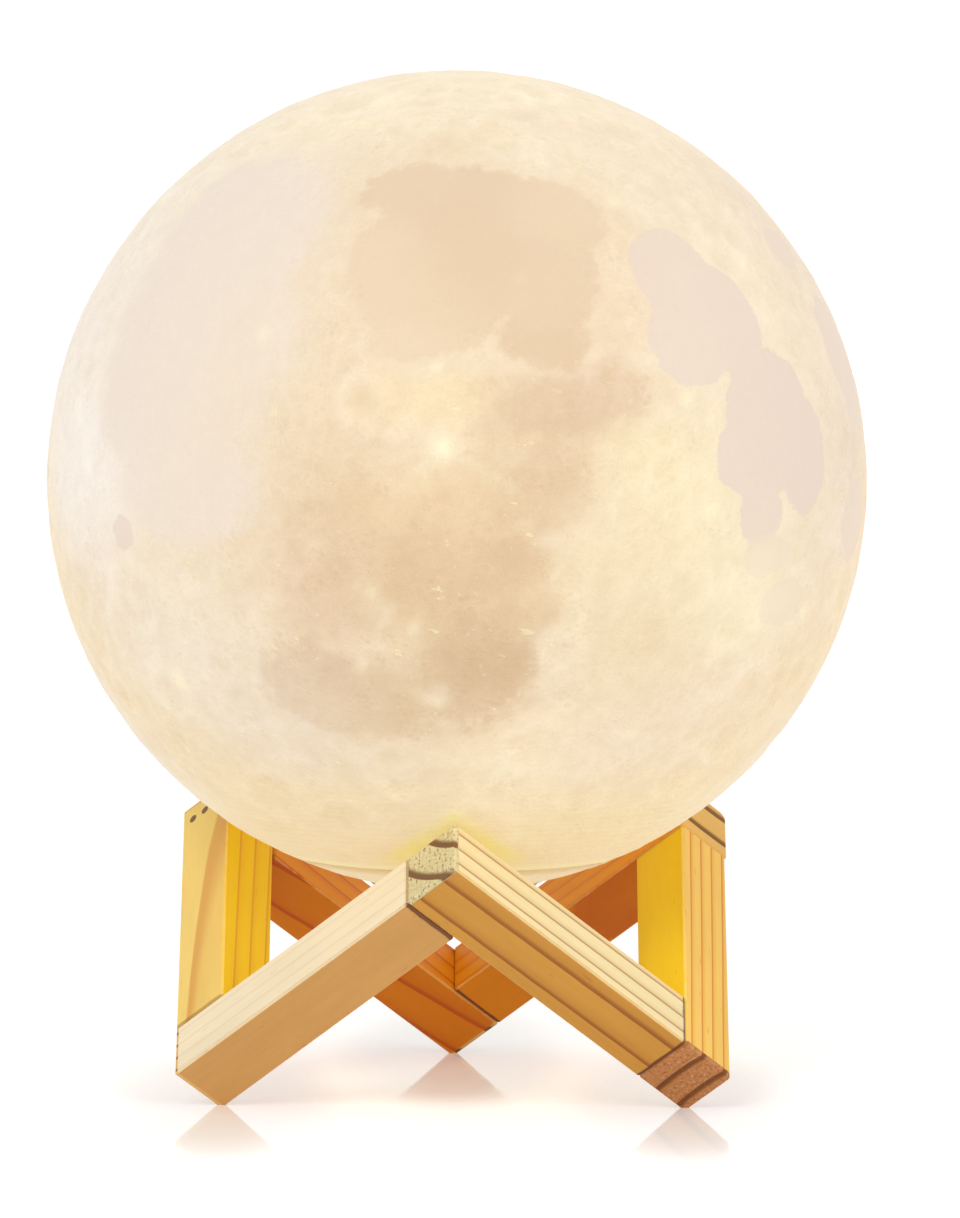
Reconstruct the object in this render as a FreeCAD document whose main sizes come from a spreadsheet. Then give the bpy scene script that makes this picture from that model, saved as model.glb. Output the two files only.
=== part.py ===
import FreeCAD, Part
import math
import os
import Sketcher
from FreeCAD import Placement, Rotation, Vector

# Moon lamp: a printed, lit globe that rests on a stand of six equal wooden bars.
# The row frame has +Z up and its origin on the floor, under the middle of the globe.
# The front of the lamp looks along -Y.

doc = FreeCAD.newDocument("moon_lamp")

# ---------------------------------------------------------------- driving sizes, mm

SIZES = [
    # globe
    ("globe_radius", 75.0),         # outside of the printed globe
    ("globe_wall", 1.6),            # printed wall
    ("rest_gap", 0.25),             # between the globe and the three peaks it rests on
    ("cap_radius", 30.0),           # printed cap that closes the bottom opening
    ("cap_gap", 0.3),               # round the cap's rim
    ("cap_lift_gap", 0.1),          # between the cap's rim and the ledge above it
    ("ledge_width", 3.0),           # of the ledge inside the globe, over the cap's rim
    ("ledge_thickness", 2.0),
    ("collar_gap", 0.3),            # between the cap's collar and the ledge
    ("collar_wall", 1.8),
    ("collar_height", 4.6),         # above the top of the rim
    ("boss_radius", 19.0),          # thick middle of the cap
    ("boss_thickness", 2.4),
    # electronics base
    ("base_radius", 16.5),          # flange that closes the middle of the cap
    ("base_gap", 0.3),
    ("flange_thickness", 1.3),
    ("cup_radius", 14.2),
    ("cup_gap", 0.25),
    ("cup_wall", 1.4),
    ("cup_height", 27.5),
    ("floor_thickness", 1.6),
    ("touch_inner", 11.2),          # metal touch ring in the underside
    ("touch_outer", 15.6),
    ("touch_height", 1.3),
    ("touch_groove", 0.6),
    ("touch_gap", 0.1),
    ("touch_round", 0.4),           # bevel of its lower edges
    ("tab_radius", 0.5),            # solder tab of the touch ring
    ("tab_place", 8.4),             # the tab's distance from both middle lines
    ("tab_height", 2.4),
    ("nut_radius", 18.0),           # ring nut that clamps the base to the cap
    ("nut_height", 4.0),
    ("nut_gap", 0.15),
    ("nut_web", 1.0),               # left under the notches
    ("nut_notches", 8),
    ("notch_width", 3.0),
    ("notch_depth", 1.2),
    # boss and screws that hold the lid and the light board
    ("screw_place", 10.8),
    ("screw_radius", 0.95),
    ("screw_gap", 0.15),
    ("screw_bite", 6.0),            # length of screw in the post
    ("screw_head_radius", 1.8),
    ("screw_head_height", 1.3),
    ("post_radius", 1.9),
    ("post_gap", 0.3),
    # lid and light board
    ("lid_thickness", 1.6),
    ("spigot_height", 1.5),
    ("spigot_wall", 1.5),
    ("spigot_gap", 0.2),
    ("light_board_radius", 12.6),
    ("light_board_thickness", 1.0),
    ("emitter_count", 8),
    ("emitter_pitch_radius", 7.4),
    ("emitter_length", 3.5),
    ("emitter_width", 2.8),
    ("emitter_height", 0.8),
    # main board, standing on the floor of the cup
    ("board_width", 23.2),
    ("board_thickness", 1.0),
    ("board_headroom", 4.9),        # from the board's top to the cup's rim
    ("board_gap", 0.1),
    ("guide_inner", 10.4),          # guides that hold the board's edges
    ("guide_thickness", 1.1),
    # charging socket
    ("socket_place", -5.0),         # sideways from the middle
    ("socket_width", 7.5),
    ("socket_depth", 2.6),
    ("socket_height", 5.6),
    ("socket_wall", 0.3),
    ("socket_corner", 0.8),
    ("socket_gap", 0.25),
    ("tongue_width", 3.8),
    ("tongue_thickness", 0.5),
    ("tongue_height", 3.6),
    # indicator light pipe
    ("lens_place", 1.1),
    ("lens_depth", 1.3),            # in front of the board
    ("lens_radius", 1.0),
    ("lens_height", 4.2),
    ("lens_gap", 0.1),
    # push switch and its button
    ("button_place", 6.2),
    ("button_depth", 3.6),          # in front of the board
    ("button_radius", 2.5),
    ("button_gap", 0.2),
    ("button_proud", 0.9),          # below the underside of the base
    ("button_travel", 0.8),
    ("button_collar", 0.8),         # wider than the button, holds it in
    ("button_collar_height", 0.7),
    ("button_seat_gap", 0.1),
    ("button_dish", 0.3),
    ("switch_width", 6.0),
    ("switch_depth", 5.8),          # out from the board
    ("switch_height", 4.0),
    ("switch_free", 0.3),           # left between collar and switch at full travel
    ("plunger_radius", 1.2),
    ("plunger_gap", 0.1),
    ("plunger_grip", 1.2),          # length of plunger inside the switch at rest
    # battery
    ("pad_thickness", 0.8),
    ("battery_width", 18.0),
    ("battery_thickness", 6.0),
    ("battery_drop", 1.0),          # how far its top stays below the board's
    ("battery_round", 2.0),
    ("battery_lift", 0.3),
    # leads inside the base
    ("lead_radius", 0.45),
    ("lead_bow", 3.3),              # how far the leads stand out from the board
    ("lead_over", 2.3),             # height of their bend above the board
    ("lead_solder_drop", 4.5),      # from the board's top to the solder points
    ("lead_red_place", -3.2),
    ("lead_black_place", -6.2),
    ("lead_solder_rise", 10.5),     # from the cup's floor to the lower solder points
    ("light_lead_first", 2.1),
    ("light_lead_second", 4.1),
    # stand
    ("bar_length", 59.4),
    ("bar_width", 12.0),
    ("bar_ease", 0.35),             # the bars' edges are broken by sanding
    ("foot_flat", 0.8),             # how far each foot's corner is cut back
    ("edge_round", 1.3),            # long edges that are worn rounder than the rest
    ("peak_round", 1.8),
    ("brad_radius", 0.6),
    ("brad_length", 22.0),
    ("brad_head_radius", 0.85),
    ("brad_head_height", 0.6),
    ("brad_inset", 4.0),            # from the end of the bar it goes through
    ("brad_first", 2.8),            # from the bar's outer edge
    ("brad_second", 5.9),
]

sheet = doc.addObject("Spreadsheet::Sheet", "Sizes")
for row, (alias, value) in enumerate(SIZES, start=1):
    sheet.set(f"A{row}", alias)
    sheet.set(f"B{row}", str(value))
    sheet.setAlias(f"B{row}", alias)
doc.recompute()


def size(expression):
    """The value of an expression on the sheet's names, in mm."""
    value = sheet.evalExpression(in_sheet(expression))
    return float(getattr(value, "Value", value))


NAMES = sorted((alias for alias, value in SIZES), key=len, reverse=True)


def in_sheet(expression):
    """Write an expression's plain names as references to the sheet."""
    words = []
    word = ""
    for letter in expression + " ":
        if letter.isalnum() or letter == "_":
            word += letter
            continue
        if word in NAMES:
            word = "Sizes." + word
        words.append(word + letter)
        word = ""
    return "".join(words).strip()


def bind(thing, **properties):
    """Tie properties of an object to expressions on the sheet."""
    for name, expression in properties.items():
        thing.setExpression(name.replace("__", "."), in_sheet(expression))


# ---------------------------------------------------------------- sketches and features


def new_body(label):
    body = doc.addObject("PartDesign::Body", label)
    body.Label = label
    return body


def new_sketch(body, name, plane="XY_Plane", height="0"):
    """A sketch on one of the body's own origin planes, raised along the plane's normal."""
    sketch = body.newObject("Sketcher::SketchObject", name)
    for feature in body.Origin.OriginFeatures:
        if feature.Role == plane:
            sketch.AttachmentSupport = (feature, [""])
    sketch.MapMode = "FlatFace"
    if height != "0":
        bind(sketch, AttachmentOffset__Base__z=height)
    return sketch


def hold_point(sketch, geometry, point, across, up):
    """Fix a point of the sketch at two expressions, measured from the sketch's origin."""
    if across == "0" and up == "0":
        sketch.addConstraint(Sketcher.Constraint("Coincident", geometry, point, -1, 1))
        return
    for kind, axis, expression in (("DistanceX", -2, across), ("DistanceY", -1, up)):
        if expression == "0":
            sketch.addConstraint(Sketcher.Constraint("PointOnObject", geometry, point, axis))
            continue
        value = size(expression)
        rule = Sketcher.Constraint(kind, -1, 1, geometry, point, value)
        index = sketch.addConstraint(rule)
        sketch.setExpression(f"Constraints[{index}]", in_sheet(expression))


def draw_polygon(sketch, corners):
    """A closed outline of straight lines; each corner is a pair of expressions."""
    first = len(sketch.Geometry)
    count = len(corners)
    places = [Vector(size(across), size(up), 0) for across, up in corners]
    for index in range(count):
        line = Part.LineSegment(places[index], places[(index + 1) % count])
        sketch.addGeometry(line, False)
    for index in range(count):
        after = first + (index + 1) % count
        sketch.addConstraint(Sketcher.Constraint("Coincident", first + index, 2, after, 1))
    for index, (across, up) in enumerate(corners):
        hold_point(sketch, first + index, 1, across, up)


def draw_rectangle(sketch, left, right, low, high):
    draw_polygon(sketch, [(left, low), (right, low), (right, high), (left, high)])


def draw_circle(sketch, across, up, radius):
    centre = Vector(size(across), size(up), 0)
    circle = Part.Circle(centre, Vector(0, 0, 1), size(radius))
    geometry = sketch.addGeometry(circle, False)
    hold_point(sketch, geometry, 3, across, up)
    index = sketch.addConstraint(Sketcher.Constraint("Radius", geometry, size(radius)))
    sketch.setExpression(f"Constraints[{index}]", in_sheet(radius))


def turn(body, sketch):
    """Revolve the sketch about the vertical axis."""
    feature = body.newObject("PartDesign::Revolution", sketch.Name + "_turned")
    feature.Profile = sketch
    feature.ReferenceAxis = (sketch, ["V_Axis"])
    feature.Angle = 360
    doc.recompute()
    return feature


def pad(body, sketch, length):
    feature = body.newObject("PartDesign::Pad", sketch.Name + "_pad")
    feature.Profile = sketch
    bind(feature, Length=length)
    doc.recompute()
    return feature


def pocket(body, sketch, length, reverse=False):
    """Cut the sketch into the body; a cut that removes nothing is an error."""
    before = body.Shape.Volume
    feature = body.newObject("PartDesign::Pocket", sketch.Name + "_cut")
    feature.Profile = sketch
    feature.Reversed = reverse
    bind(feature, Length=length)
    doc.recompute()
    if not body.Shape.Volume < before:
        raise RuntimeError(feature.Name + " cuts nothing")
    return feature


def polar(body, feature, sketch, count):
    """Repeat a feature evenly round the vertical axis."""
    pattern = body.newObject("PartDesign::PolarPattern", feature.Name + "_round")
    pattern.Originals = [feature]
    pattern.Axis = (sketch, ["N_Axis"])
    pattern.Angle = 360
    bind(pattern, Occurrences=count)
    body.Tip = pattern
    doc.recompute()
    return pattern


def dress_edges(body, feature, kind, amount, wanted):
    """Fillet or chamfer the feature's edges that the test picks."""
    names = []
    for index, line in enumerate(feature.Shape.Edges, start=1):
        if wanted(line):
            names.append(f"Edge{index}")
    dressed = body.newObject("PartDesign::" + kind, feature.Name + "_eased")
    dressed.Base = (feature, names)
    bind(dressed, **{"Radius" if kind == "Fillet" else "Size": amount})
    doc.recompute()
    return dressed


def primitive(kind, name, **properties):
    """A Part primitive whose sizes are tied to the sheet; z is its lowest height."""
    thing = doc.addObject("Part::" + kind, name)
    if "z" in properties:
        bind(thing, Placement__Base__z=properties.pop("z"))
    bind(thing, **properties)
    return thing


def joined(name, *things):
    fuse = doc.addObject("Part::MultiFuse", name)
    fuse.Shapes = list(things)
    return fuse


def less(name, base, tool):
    cut = doc.addObject("Part::Cut", name)
    cut.Base = base
    cut.Tool = tool
    return cut


def shared(name, base, tool):
    common = doc.addObject("Part::Common", name)
    common.Base = base
    common.Tool = tool
    return common


nodes = []


def keep(thing, label, place):
    """Name a finished sub-part and put it in its place in the lamp."""
    thing.Label = label
    doc.recompute()
    thing.Placement = place
    nodes.append(thing)


# ---------------------------------------------------------------- where the bodies stand

# The six bars follow the zigzag of edges round a cube that stands on one corner.
# Its three edges rise from that corner at equal slopes, a third of a turn apart.
TILT = math.sqrt(2 / 3)
RISE = math.sqrt(1 / 3)
HEADINGS = {"left_edge": "-150", "right_edge": "-30", "back_edge": "90"}
edge = {}
for name, heading in HEADINGS.items():
    turned = math.radians(float(heading))
    edge[name] = Vector(TILT * math.cos(turned), TILT * math.sin(turned), RISE)

CUBE = size("bar_length + bar_width")
FLOOR = size("bar_length * sqrt(1 / 3) + foot_flat")


def cube_point(**steps):
    """A point of the cube in the lamp's frame, with the floor at the cut feet."""
    place = Vector(0, 0, -FLOOR)
    for name, step in steps.items():
        place += edge[name] * step
    return place


# The globe touches the inner top corner of each peak, which lies at (CUBE, CUBE, bar_width).
REACH = size("globe_radius + rest_gap")
WIDTH = size("bar_width")
NEAR = 0.001                        # mm, for picking edges by their place
half_sum = 2 * CUBE + WIDTH
spread = 2 * CUBE ** 2 + WIDTH ** 2 - REACH ** 2
CENTRE = (half_sum + math.sqrt(half_sum ** 2 - 3 * spread)) / 3
middle = cube_point(left_edge=CENTRE, right_edge=CENTRE, back_edge=CENTRE)
globe_place = Placement(middle, Rotation())

# The base's underside is level with the globe where the flange ends.
BASE_DROP = size("sqrt(globe_radius ^ 2 - base_radius ^ 2)")
base_place = Placement(globe_place.Base - Vector(0, 0, BASE_DROP), Rotation())
BASE_Z = "(0 - sqrt(globe_radius ^ 2 - base_radius ^ 2))"

# ---------------------------------------------------------------- stand


def bar_place(start, run, nail, third):
    """Put a bar's own frame on the cube: X along it, Y the way its brads are driven."""
    turned = FreeCAD.Matrix(
        run.x, nail.x, third.x, start.x,
        run.y, nail.y, third.y, start.y,
        run.z, nail.z, third.z, start.z,
        0, 0, 0, 1,
    )
    return Placement(turned)


def along_bar(line, y, z):
    """True for an edge that runs along the bar at this place of its section."""
    spot = line.CenterOfMass
    return math.hypot(spot.y - y, spot.z - z) < NEAR and abs(spot.x * 2 - line.Length) < NEAR


def make_bar(label, place, is_foot, brads_at_start, brads_at_end, worn):
    """One bar: its start runs through a corner of the stand, its end butts on the next bar."""
    body = new_body(label)
    section = new_sketch(body, label + "_section", "YZ_Plane")
    draw_rectangle(section, "0", "bar_width", "0", "bar_width")
    blank = pad(body, section, "bar_length")
    for y, z, rounding in worn:
        blank = dress_edges(body, blank, "Fillet", rounding,
                            lambda line: along_bar(line, y * WIDTH, z * WIDTH))
    corners = [(y * WIDTH, z * WIDTH) for y in (0, 1) for z in (0, 1)]
    dress_edges(body, blank, "Chamfer", "bar_ease",
                lambda line: abs(line.Length - size("bar_length")) > NEAR
                or any(along_bar(line, *corner) for corner in corners))

    if brads_at_start:
        heads = new_sketch(body, label + "_heads", "XZ_Plane")
        shanks = new_sketch(body, label + "_shanks", "XZ_Plane")
        for row in ("brad_first", "brad_second"):
            draw_circle(heads, "brad_inset", row, "brad_head_radius")
            draw_circle(shanks, "brad_inset", row, "brad_radius")
        pocket(body, heads, "brad_head_height")
        pocket(body, shanks, "bar_width")

    if brads_at_end:
        ends = new_sketch(body, label + "_ends", "YZ_Plane", "bar_length")
        for row in ("brad_first", "brad_second"):
            if is_foot:
                draw_circle(ends, row, "bar_width - brad_inset", "brad_radius")
            else:
                draw_circle(ends, f"bar_width - {row}", "brad_inset", "brad_radius")
        pocket(body, ends, "brad_length - bar_width")

    if is_foot:
        flat = new_sketch(body, label + "_flat", "XY_Plane")
        flat.AttachmentOffset = Placement(Vector(), Rotation(Vector(0, 0, 1), Vector(1, 1, 1)))
        for axis in "xyz":
            bind(flat, **{f"AttachmentOffset__Base__{axis}": "foot_flat * sqrt(1 / 3)"})
        draw_circle(flat, "0", "0", "bar_width")
        pocket(body, flat, "bar_width")
    keep(body, label, place)


def make_brad(name, row, place):
    """One brad, with its small head level with the bar's face."""
    head = primitive("Cylinder", name + "_head",
                     Radius="brad_head_radius", Height="brad_head_height")
    shank = primitive("Cylinder", name + "_shank",
                      Radius="brad_radius", Height="brad_length")
    brad = joined(name, head, shank)
    drive = Placement(Vector(size("brad_inset"), 0, size(row)),
                      Rotation(Vector(0, 0, 1), Vector(0, 1, 0)))
    brad.Placement = place.multiply(drive)
    return brad


# Each entry: label, the cube edges that the bar, its brads and its third side follow,
# whether it starts at a foot and climbs or starts at a peak and comes down, whether
# brads hold the joint at its start, and its worn long edges: their place across the
# section, in bar widths, and the rounding. The two joints in front are glued only.
# Each bar's end butts on the start of the next one, and the last one's on the first.
BARS = [
    ("stand_bar_front_left", "right_edge", "back_edge", "left_edge", True, False, []),
    ("stand_bar_front_right", "left_edge", "right_edge", "back_edge", False, False, []),
    ("stand_bar_right", "back_edge", "left_edge", "right_edge", True, True,
     [(0, 1, "edge_round")]),
    ("stand_bar_back_right", "right_edge", "back_edge", "left_edge", False, True,
     [(0, 0, "peak_round")]),
    ("stand_bar_back_left", "left_edge", "right_edge", "back_edge", True, True, []),
    ("stand_bar_left", "back_edge", "left_edge", "right_edge", False, True, []),
]
HAS_BRADS = [bar[5] for bar in BARS]
brads = []
for number, (label, run, nail, third, is_foot, has_brads, worn) in enumerate(BARS):
    next_has_brads = HAS_BRADS[(number + 1) % len(BARS)]
    if is_foot:
        start = cube_point(**{third: CUBE - WIDTH})
        place = bar_place(start, edge[run], edge[nail], edge[third])
    else:
        start = cube_point(**{run: CUBE, nail: CUBE})
        place = bar_place(start, -edge[run], -edge[nail], edge[third])
    make_bar(label, place, is_foot, has_brads, next_has_brads, worn)
    if has_brads:
        for row in ("brad_first", "brad_second"):
            brads.append(make_brad(f"{label}_{row}", row, place))

stand_brads = doc.addObject("Part::Compound", "stand_brads")
stand_brads.Links = brads
keep(stand_brads, "stand_brads", Placement())

# ---------------------------------------------------------------- printed globe and cap

# The ledge's underside stands at the height where the rim's inside meets the opening.
LEDGE_Z = "(0 - sqrt((globe_radius - globe_wall) ^ 2 - (cap_radius + cap_gap / 2) ^ 2))"
RIM_TOP = f"({LEDGE_Z} - cap_lift_gap)"
LEDGE_INNER = "(cap_radius - ledge_width)"


def make_shell():
    outside = primitive("Sphere", "globe_outside", Radius="globe_radius")
    inside = primitive("Sphere", "globe_inside", Radius="globe_radius - globe_wall")
    hollow = less("globe_hollow", outside, inside)
    disc = primitive("Cylinder", "ledge_disc", z=LEDGE_Z,
                     Radius="cap_radius + 4 * globe_wall", Height="ledge_thickness")
    hole = primitive("Cylinder", "ledge_hole", z=f"{LEDGE_Z} - 1",
                     Radius=LEDGE_INNER, Height="ledge_thickness + 2")
    ring = less("ledge_ring", disc, hole)
    bound = primitive("Sphere", "ledge_bound", Radius="globe_radius - globe_wall / 2")
    ledge = shared("ledge", ring, bound)
    whole = joined("globe_with_ledge", hollow, ledge)
    opening = primitive("Cylinder", "globe_opening", z="0 - globe_radius - 1",
                        Radius="cap_radius + cap_gap", Height=f"globe_radius + 1 + {LEDGE_Z}")
    keep(less("moon_shell", whole, opening), "moon_shell", globe_place)


def make_cap():
    outside = primitive("Sphere", "cap_outside", Radius="globe_radius")
    inside = primitive("Sphere", "cap_inside", Radius="globe_radius - globe_wall")
    skin = less("cap_skin", outside, inside)
    column = primitive("Cylinder", "cap_column", z="0 - globe_radius",
                       Radius="cap_radius", Height=f"globe_radius + {RIM_TOP}")
    dish = shared("cap_dish", skin, column)
    tube = primitive("Cylinder", "collar_outside", z=f"{RIM_TOP} - 2",
                     Radius=f"{LEDGE_INNER} - collar_gap", Height="collar_height + 2")
    bore = primitive("Cylinder", "collar_inside", z=f"{RIM_TOP} - 4",
                     Radius=f"{LEDGE_INNER} - collar_gap - collar_wall",
                     Height="collar_height + 6")
    collar = less("collar", tube, bore)
    block = primitive("Cylinder", "boss_block", z="0 - globe_radius", Radius="boss_radius",
                      Height=f"globe_radius + {BASE_Z} + flange_thickness + boss_thickness")
    bound = primitive("Sphere", "boss_bound", Radius="globe_radius")
    boss = shared("boss", block, bound)
    whole = joined("cap_whole", dish, collar, boss)
    seat = primitive("Cylinder", "flange_seat", z="0 - globe_radius - 1",
                     Radius="base_radius + base_gap",
                     Height=f"globe_radius + 1 + {BASE_Z} + flange_thickness")
    hole = primitive("Cylinder", "cup_hole", z="0 - globe_radius",
                     Radius="cup_radius + cup_gap", Height="globe_radius")
    room = joined("base_room", seat, hole)
    keep(less("bottom_cap", whole, room), "bottom_cap", globe_place)


make_shell()
make_cap()

# ---------------------------------------------------------------- electronics base
# These pieces share one frame: its origin is the middle of the base's underside.

SWITCH_Z = ("(floor_thickness + button_seat_gap + button_collar_height"
            " + button_travel + switch_free)")
COLLAR_TOP = "(floor_thickness + button_seat_gap + button_collar_height)"
CUP_BORE = "(cup_radius - cup_wall)"
BOARD_HEIGHT = "(cup_height - floor_thickness - board_headroom)"
BATTERY_HEIGHT = f"({BOARD_HEIGHT} - battery_drop)"


def make_housing():
    body = new_body("base_housing")
    outline = new_sketch(body, "housing_outline", "XZ_Plane")
    draw_polygon(outline, [
        ("0", "0"),
        ("touch_inner - touch_gap", "0"),
        ("touch_inner - touch_gap", "touch_groove"),
        ("touch_outer + touch_gap", "touch_groove"),
        ("touch_outer + touch_gap", "0"),
        ("base_radius", "0"),
        ("base_radius", "flange_thickness"),
        ("cup_radius", "flange_thickness"),
        ("cup_radius", "cup_height"),
        (CUP_BORE, "cup_height"),
        (CUP_BORE, "floor_thickness"),
        ("0", "floor_thickness"),
    ])
    turn(body, outline)

    posts = new_sketch(body, "housing_posts", "XY_Plane", "floor_thickness")
    for side in ("screw_place", "0 - screw_place"):
        draw_circle(posts, "0", side, "post_radius")
    pad(body, posts, "cup_height - floor_thickness")

    guides = new_sketch(body, "housing_guides", "XY_Plane", "floor_thickness")
    outer = f"{CUP_BORE} - board_gap"
    for near, far in (("guide_inner", outer), (f"0 - ({outer})", "0 - guide_inner")):
        draw_rectangle(guides, near, far, "0 - guide_thickness - board_gap",
                       "0 - board_gap")
        draw_rectangle(guides, near, far, "board_thickness + board_gap",
                       "board_thickness + board_gap + guide_thickness")
    pad(body, guides, f"{BOARD_HEIGHT} * 0.8")

    pilots = new_sketch(body, "housing_pilots", "XY_Plane", "cup_height")
    for side in ("screw_place", "0 - screw_place"):
        draw_circle(pilots, "0", side, "screw_radius + screw_gap / 3")
    pocket(body, pilots, "screw_bite + 1")

    ports = new_sketch(body, "housing_ports", "XY_Plane")
    half = "(socket_width / 2 + socket_gap)"
    draw_rectangle(ports, f"socket_place - {half}", f"socket_place + {half}",
                   "0 - socket_depth - socket_gap", "socket_gap")
    draw_circle(ports, "lens_place", "0 - lens_depth", "lens_radius + lens_gap")
    draw_circle(ports, "button_place", "0 - button_depth", "button_radius + button_gap")
    draw_circle(ports, "tab_place", "0 - tab_place", "tab_radius + touch_gap")
    pocket(body, ports, "floor_thickness", reverse=True)
    keep(body, "base_housing", base_place)


def make_touch_ring():
    body = new_body("touch_ring")
    outline = new_sketch(body, "touch_outline", "XZ_Plane")
    low = "touch_groove - touch_height"
    draw_rectangle(outline, "touch_inner", "touch_outer", low, "touch_groove")
    ring = turn(body, outline)

    def is_low(line):
        around = line.BoundBox
        return around.ZMax < size("touch_groove - touch_round") and around.XLength > 1
    dress_edges(body, ring, "Chamfer", "touch_round", is_low)
    tab = new_sketch(body, "touch_tab", "XY_Plane", "touch_groove")
    draw_circle(tab, "tab_place", "0 - tab_place", "tab_radius")
    pad(body, tab, "tab_height")
    keep(body, "touch_ring", base_place)


def make_ring_nut():
    body = new_body("ring_nut")
    outline = new_sketch(body, "nut_outline", "XZ_Plane")
    low = "flange_thickness + boss_thickness"
    draw_rectangle(outline, "cup_radius + nut_gap", "nut_radius", low, f"{low} + nut_height")
    turn(body, outline)
    notch = new_sketch(body, "nut_notch", "XY_Plane", f"{low} + nut_height")
    draw_rectangle(notch, "nut_radius - notch_depth", "nut_radius + notch_depth",
                   "0 - notch_width / 2", "notch_width / 2")
    cut = pocket(body, notch, "nut_height - nut_web")
    polar(body, cut, notch, "nut_notches")
    keep(body, "ring_nut", base_place)


LEAD_PLACES = [("light_lead_first", "0 - lead_bow"), ("light_lead_second", "0 - lead_bow")]


def make_lid():
    """Lid of the cup; it carries the light board."""
    body = new_body("base_lid")
    outline = new_sketch(body, "lid_outline", "XZ_Plane")
    rim = f"({CUP_BORE} - spigot_gap)"
    draw_polygon(outline, [
        ("0", "cup_height"),
        (f"{rim} - spigot_wall", "cup_height"),
        (f"{rim} - spigot_wall", "cup_height - spigot_height"),
        (rim, "cup_height - spigot_height"),
        (rim, "cup_height"),
        ("cup_radius", "cup_height"),
        ("cup_radius", "cup_height + lid_thickness"),
        ("0", "cup_height + lid_thickness"),
    ])
    turn(body, outline)
    room = new_sketch(body, "lid_post_room", "XY_Plane", "cup_height")
    holes = new_sketch(body, "lid_holes", "XY_Plane", "cup_height")
    for side in ("screw_place", "0 - screw_place"):
        draw_circle(room, "0", side, "post_radius + post_gap")
        draw_circle(holes, "0", side, "screw_radius + screw_gap")
    for across, up in LEAD_PLACES:
        draw_circle(holes, across, up, "2 * lead_radius")
    pocket(body, room, "spigot_height")
    pocket(body, holes, "lid_thickness", reverse=True)
    keep(body, "base_lid", base_place)


def make_light_board():
    body = new_body("light_board")
    outline = new_sketch(body, "light_board_outline", "XY_Plane", "cup_height + lid_thickness")
    draw_circle(outline, "0", "0", "light_board_radius")
    for side in ("screw_place", "0 - screw_place"):
        draw_circle(outline, "0", side, "screw_radius + screw_gap")
    for across, up in LEAD_PLACES:
        draw_circle(outline, across, up, "lead_radius + 0.1")
    pad(body, outline, "light_board_thickness")
    keep(body, "light_board", base_place)


def make_emitters():
    """The light emitters, evenly round the light board."""
    body = new_body("light_emitters")
    chip = new_sketch(body, "emitter_outline", "XY_Plane",
                      "cup_height + lid_thickness + light_board_thickness")
    draw_rectangle(chip, "emitter_pitch_radius - emitter_width / 2",
                   "emitter_pitch_radius + emitter_width / 2",
                   "0 - emitter_length / 2", "emitter_length / 2")
    block = pad(body, chip, "emitter_height")
    polar(body, block, chip, "emitter_count")
    keep(body, "light_emitters", base_place)


def make_screws():
    screws = []
    top = "cup_height + lid_thickness + light_board_thickness"
    for number, side in enumerate((1, -1), start=1):
        shank = primitive("Cylinder", f"screw_shank_{number}",
                          z="cup_height - screw_bite", Radius="screw_radius",
                          Height="screw_bite + lid_thickness + light_board_thickness")
        head = primitive("Cylinder", f"screw_head_{number}", z=top,
                         Radius="screw_head_radius", Height="screw_head_height")
        screw = joined(f"screw_{number}", shank, head)
        screw.Placement = Placement(Vector(0, side * size("screw_place"), 0), Rotation())
        screws.append(screw)
    group = doc.addObject("Part::Compound", "lid_screws")
    group.Links = screws
    keep(group, "lid_screws", base_place)


def make_board():
    body = new_body("main_board")
    outline = new_sketch(body, "board_outline", "XZ_Plane")
    draw_rectangle(outline, "0 - board_width / 2", "board_width / 2",
                   "floor_thickness", f"floor_thickness + {BOARD_HEIGHT}")
    slab = pad(body, outline, "board_thickness")
    slab.Reversed = True
    keep(body, "main_board", base_place)


def box(name, left, right, front, back, low, high):
    """A box between six expressions."""
    thing = doc.addObject("Part::Box", name)
    bind(thing, Length=f"({right}) - ({left})", Width=f"({back}) - ({front})",
         Height=f"({high}) - ({low})", Placement__Base__x=left,
         Placement__Base__y=front, Placement__Base__z=low)
    return thing


def make_board_parts():
    """Charger chip, coil, driver chip and the small lamp behind the indicator."""
    charger = box("charger_chip", "socket_place - 2.5", "socket_place + 2.5", "0 - 1.5", "0",
                  "floor_thickness + 8", "floor_thickness + 12")
    coil = box("driver_coil", "button_place - 2.2", "button_place + 2.2", "0 - 2.2", "0",
               "floor_thickness + 14", "floor_thickness + 18.4")
    driver = box("driver_chip", "lens_place - 2", "lens_place + 1.6", "0 - 1.2", "0",
                 "floor_thickness + 6.4", "floor_thickness + 9.6")
    lamp = box("indicator_lamp", "lens_place - 0.8", "lens_place + 0.8",
               "0 - lens_depth - 0.7", "0", "lens_height", "lens_height + 1.2")
    group = doc.addObject("Part::Compound", "board_parts")
    group.Links = [charger, coil, driver, lamp]
    keep(group, "board_parts", base_place)


def socket_outline(sketch, inset):
    """Outline of a small charging socket: flat at the board, cut corners in front."""
    half = f"(socket_width / 2 - {inset})"
    corner = f"(socket_corner - {inset} / 2)"
    front = f"0 - socket_depth + {inset}"
    draw_polygon(sketch, [
        (f"socket_place - {half}", f"0 - {inset}"),
        (f"socket_place - {half}", f"{front} + {corner}"),
        (f"socket_place - {half} + {corner}", front),
        (f"socket_place + {half} - {corner}", front),
        (f"socket_place + {half}", f"{front} + {corner}"),
        (f"socket_place + {half}", f"0 - {inset}"),
    ])


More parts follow.
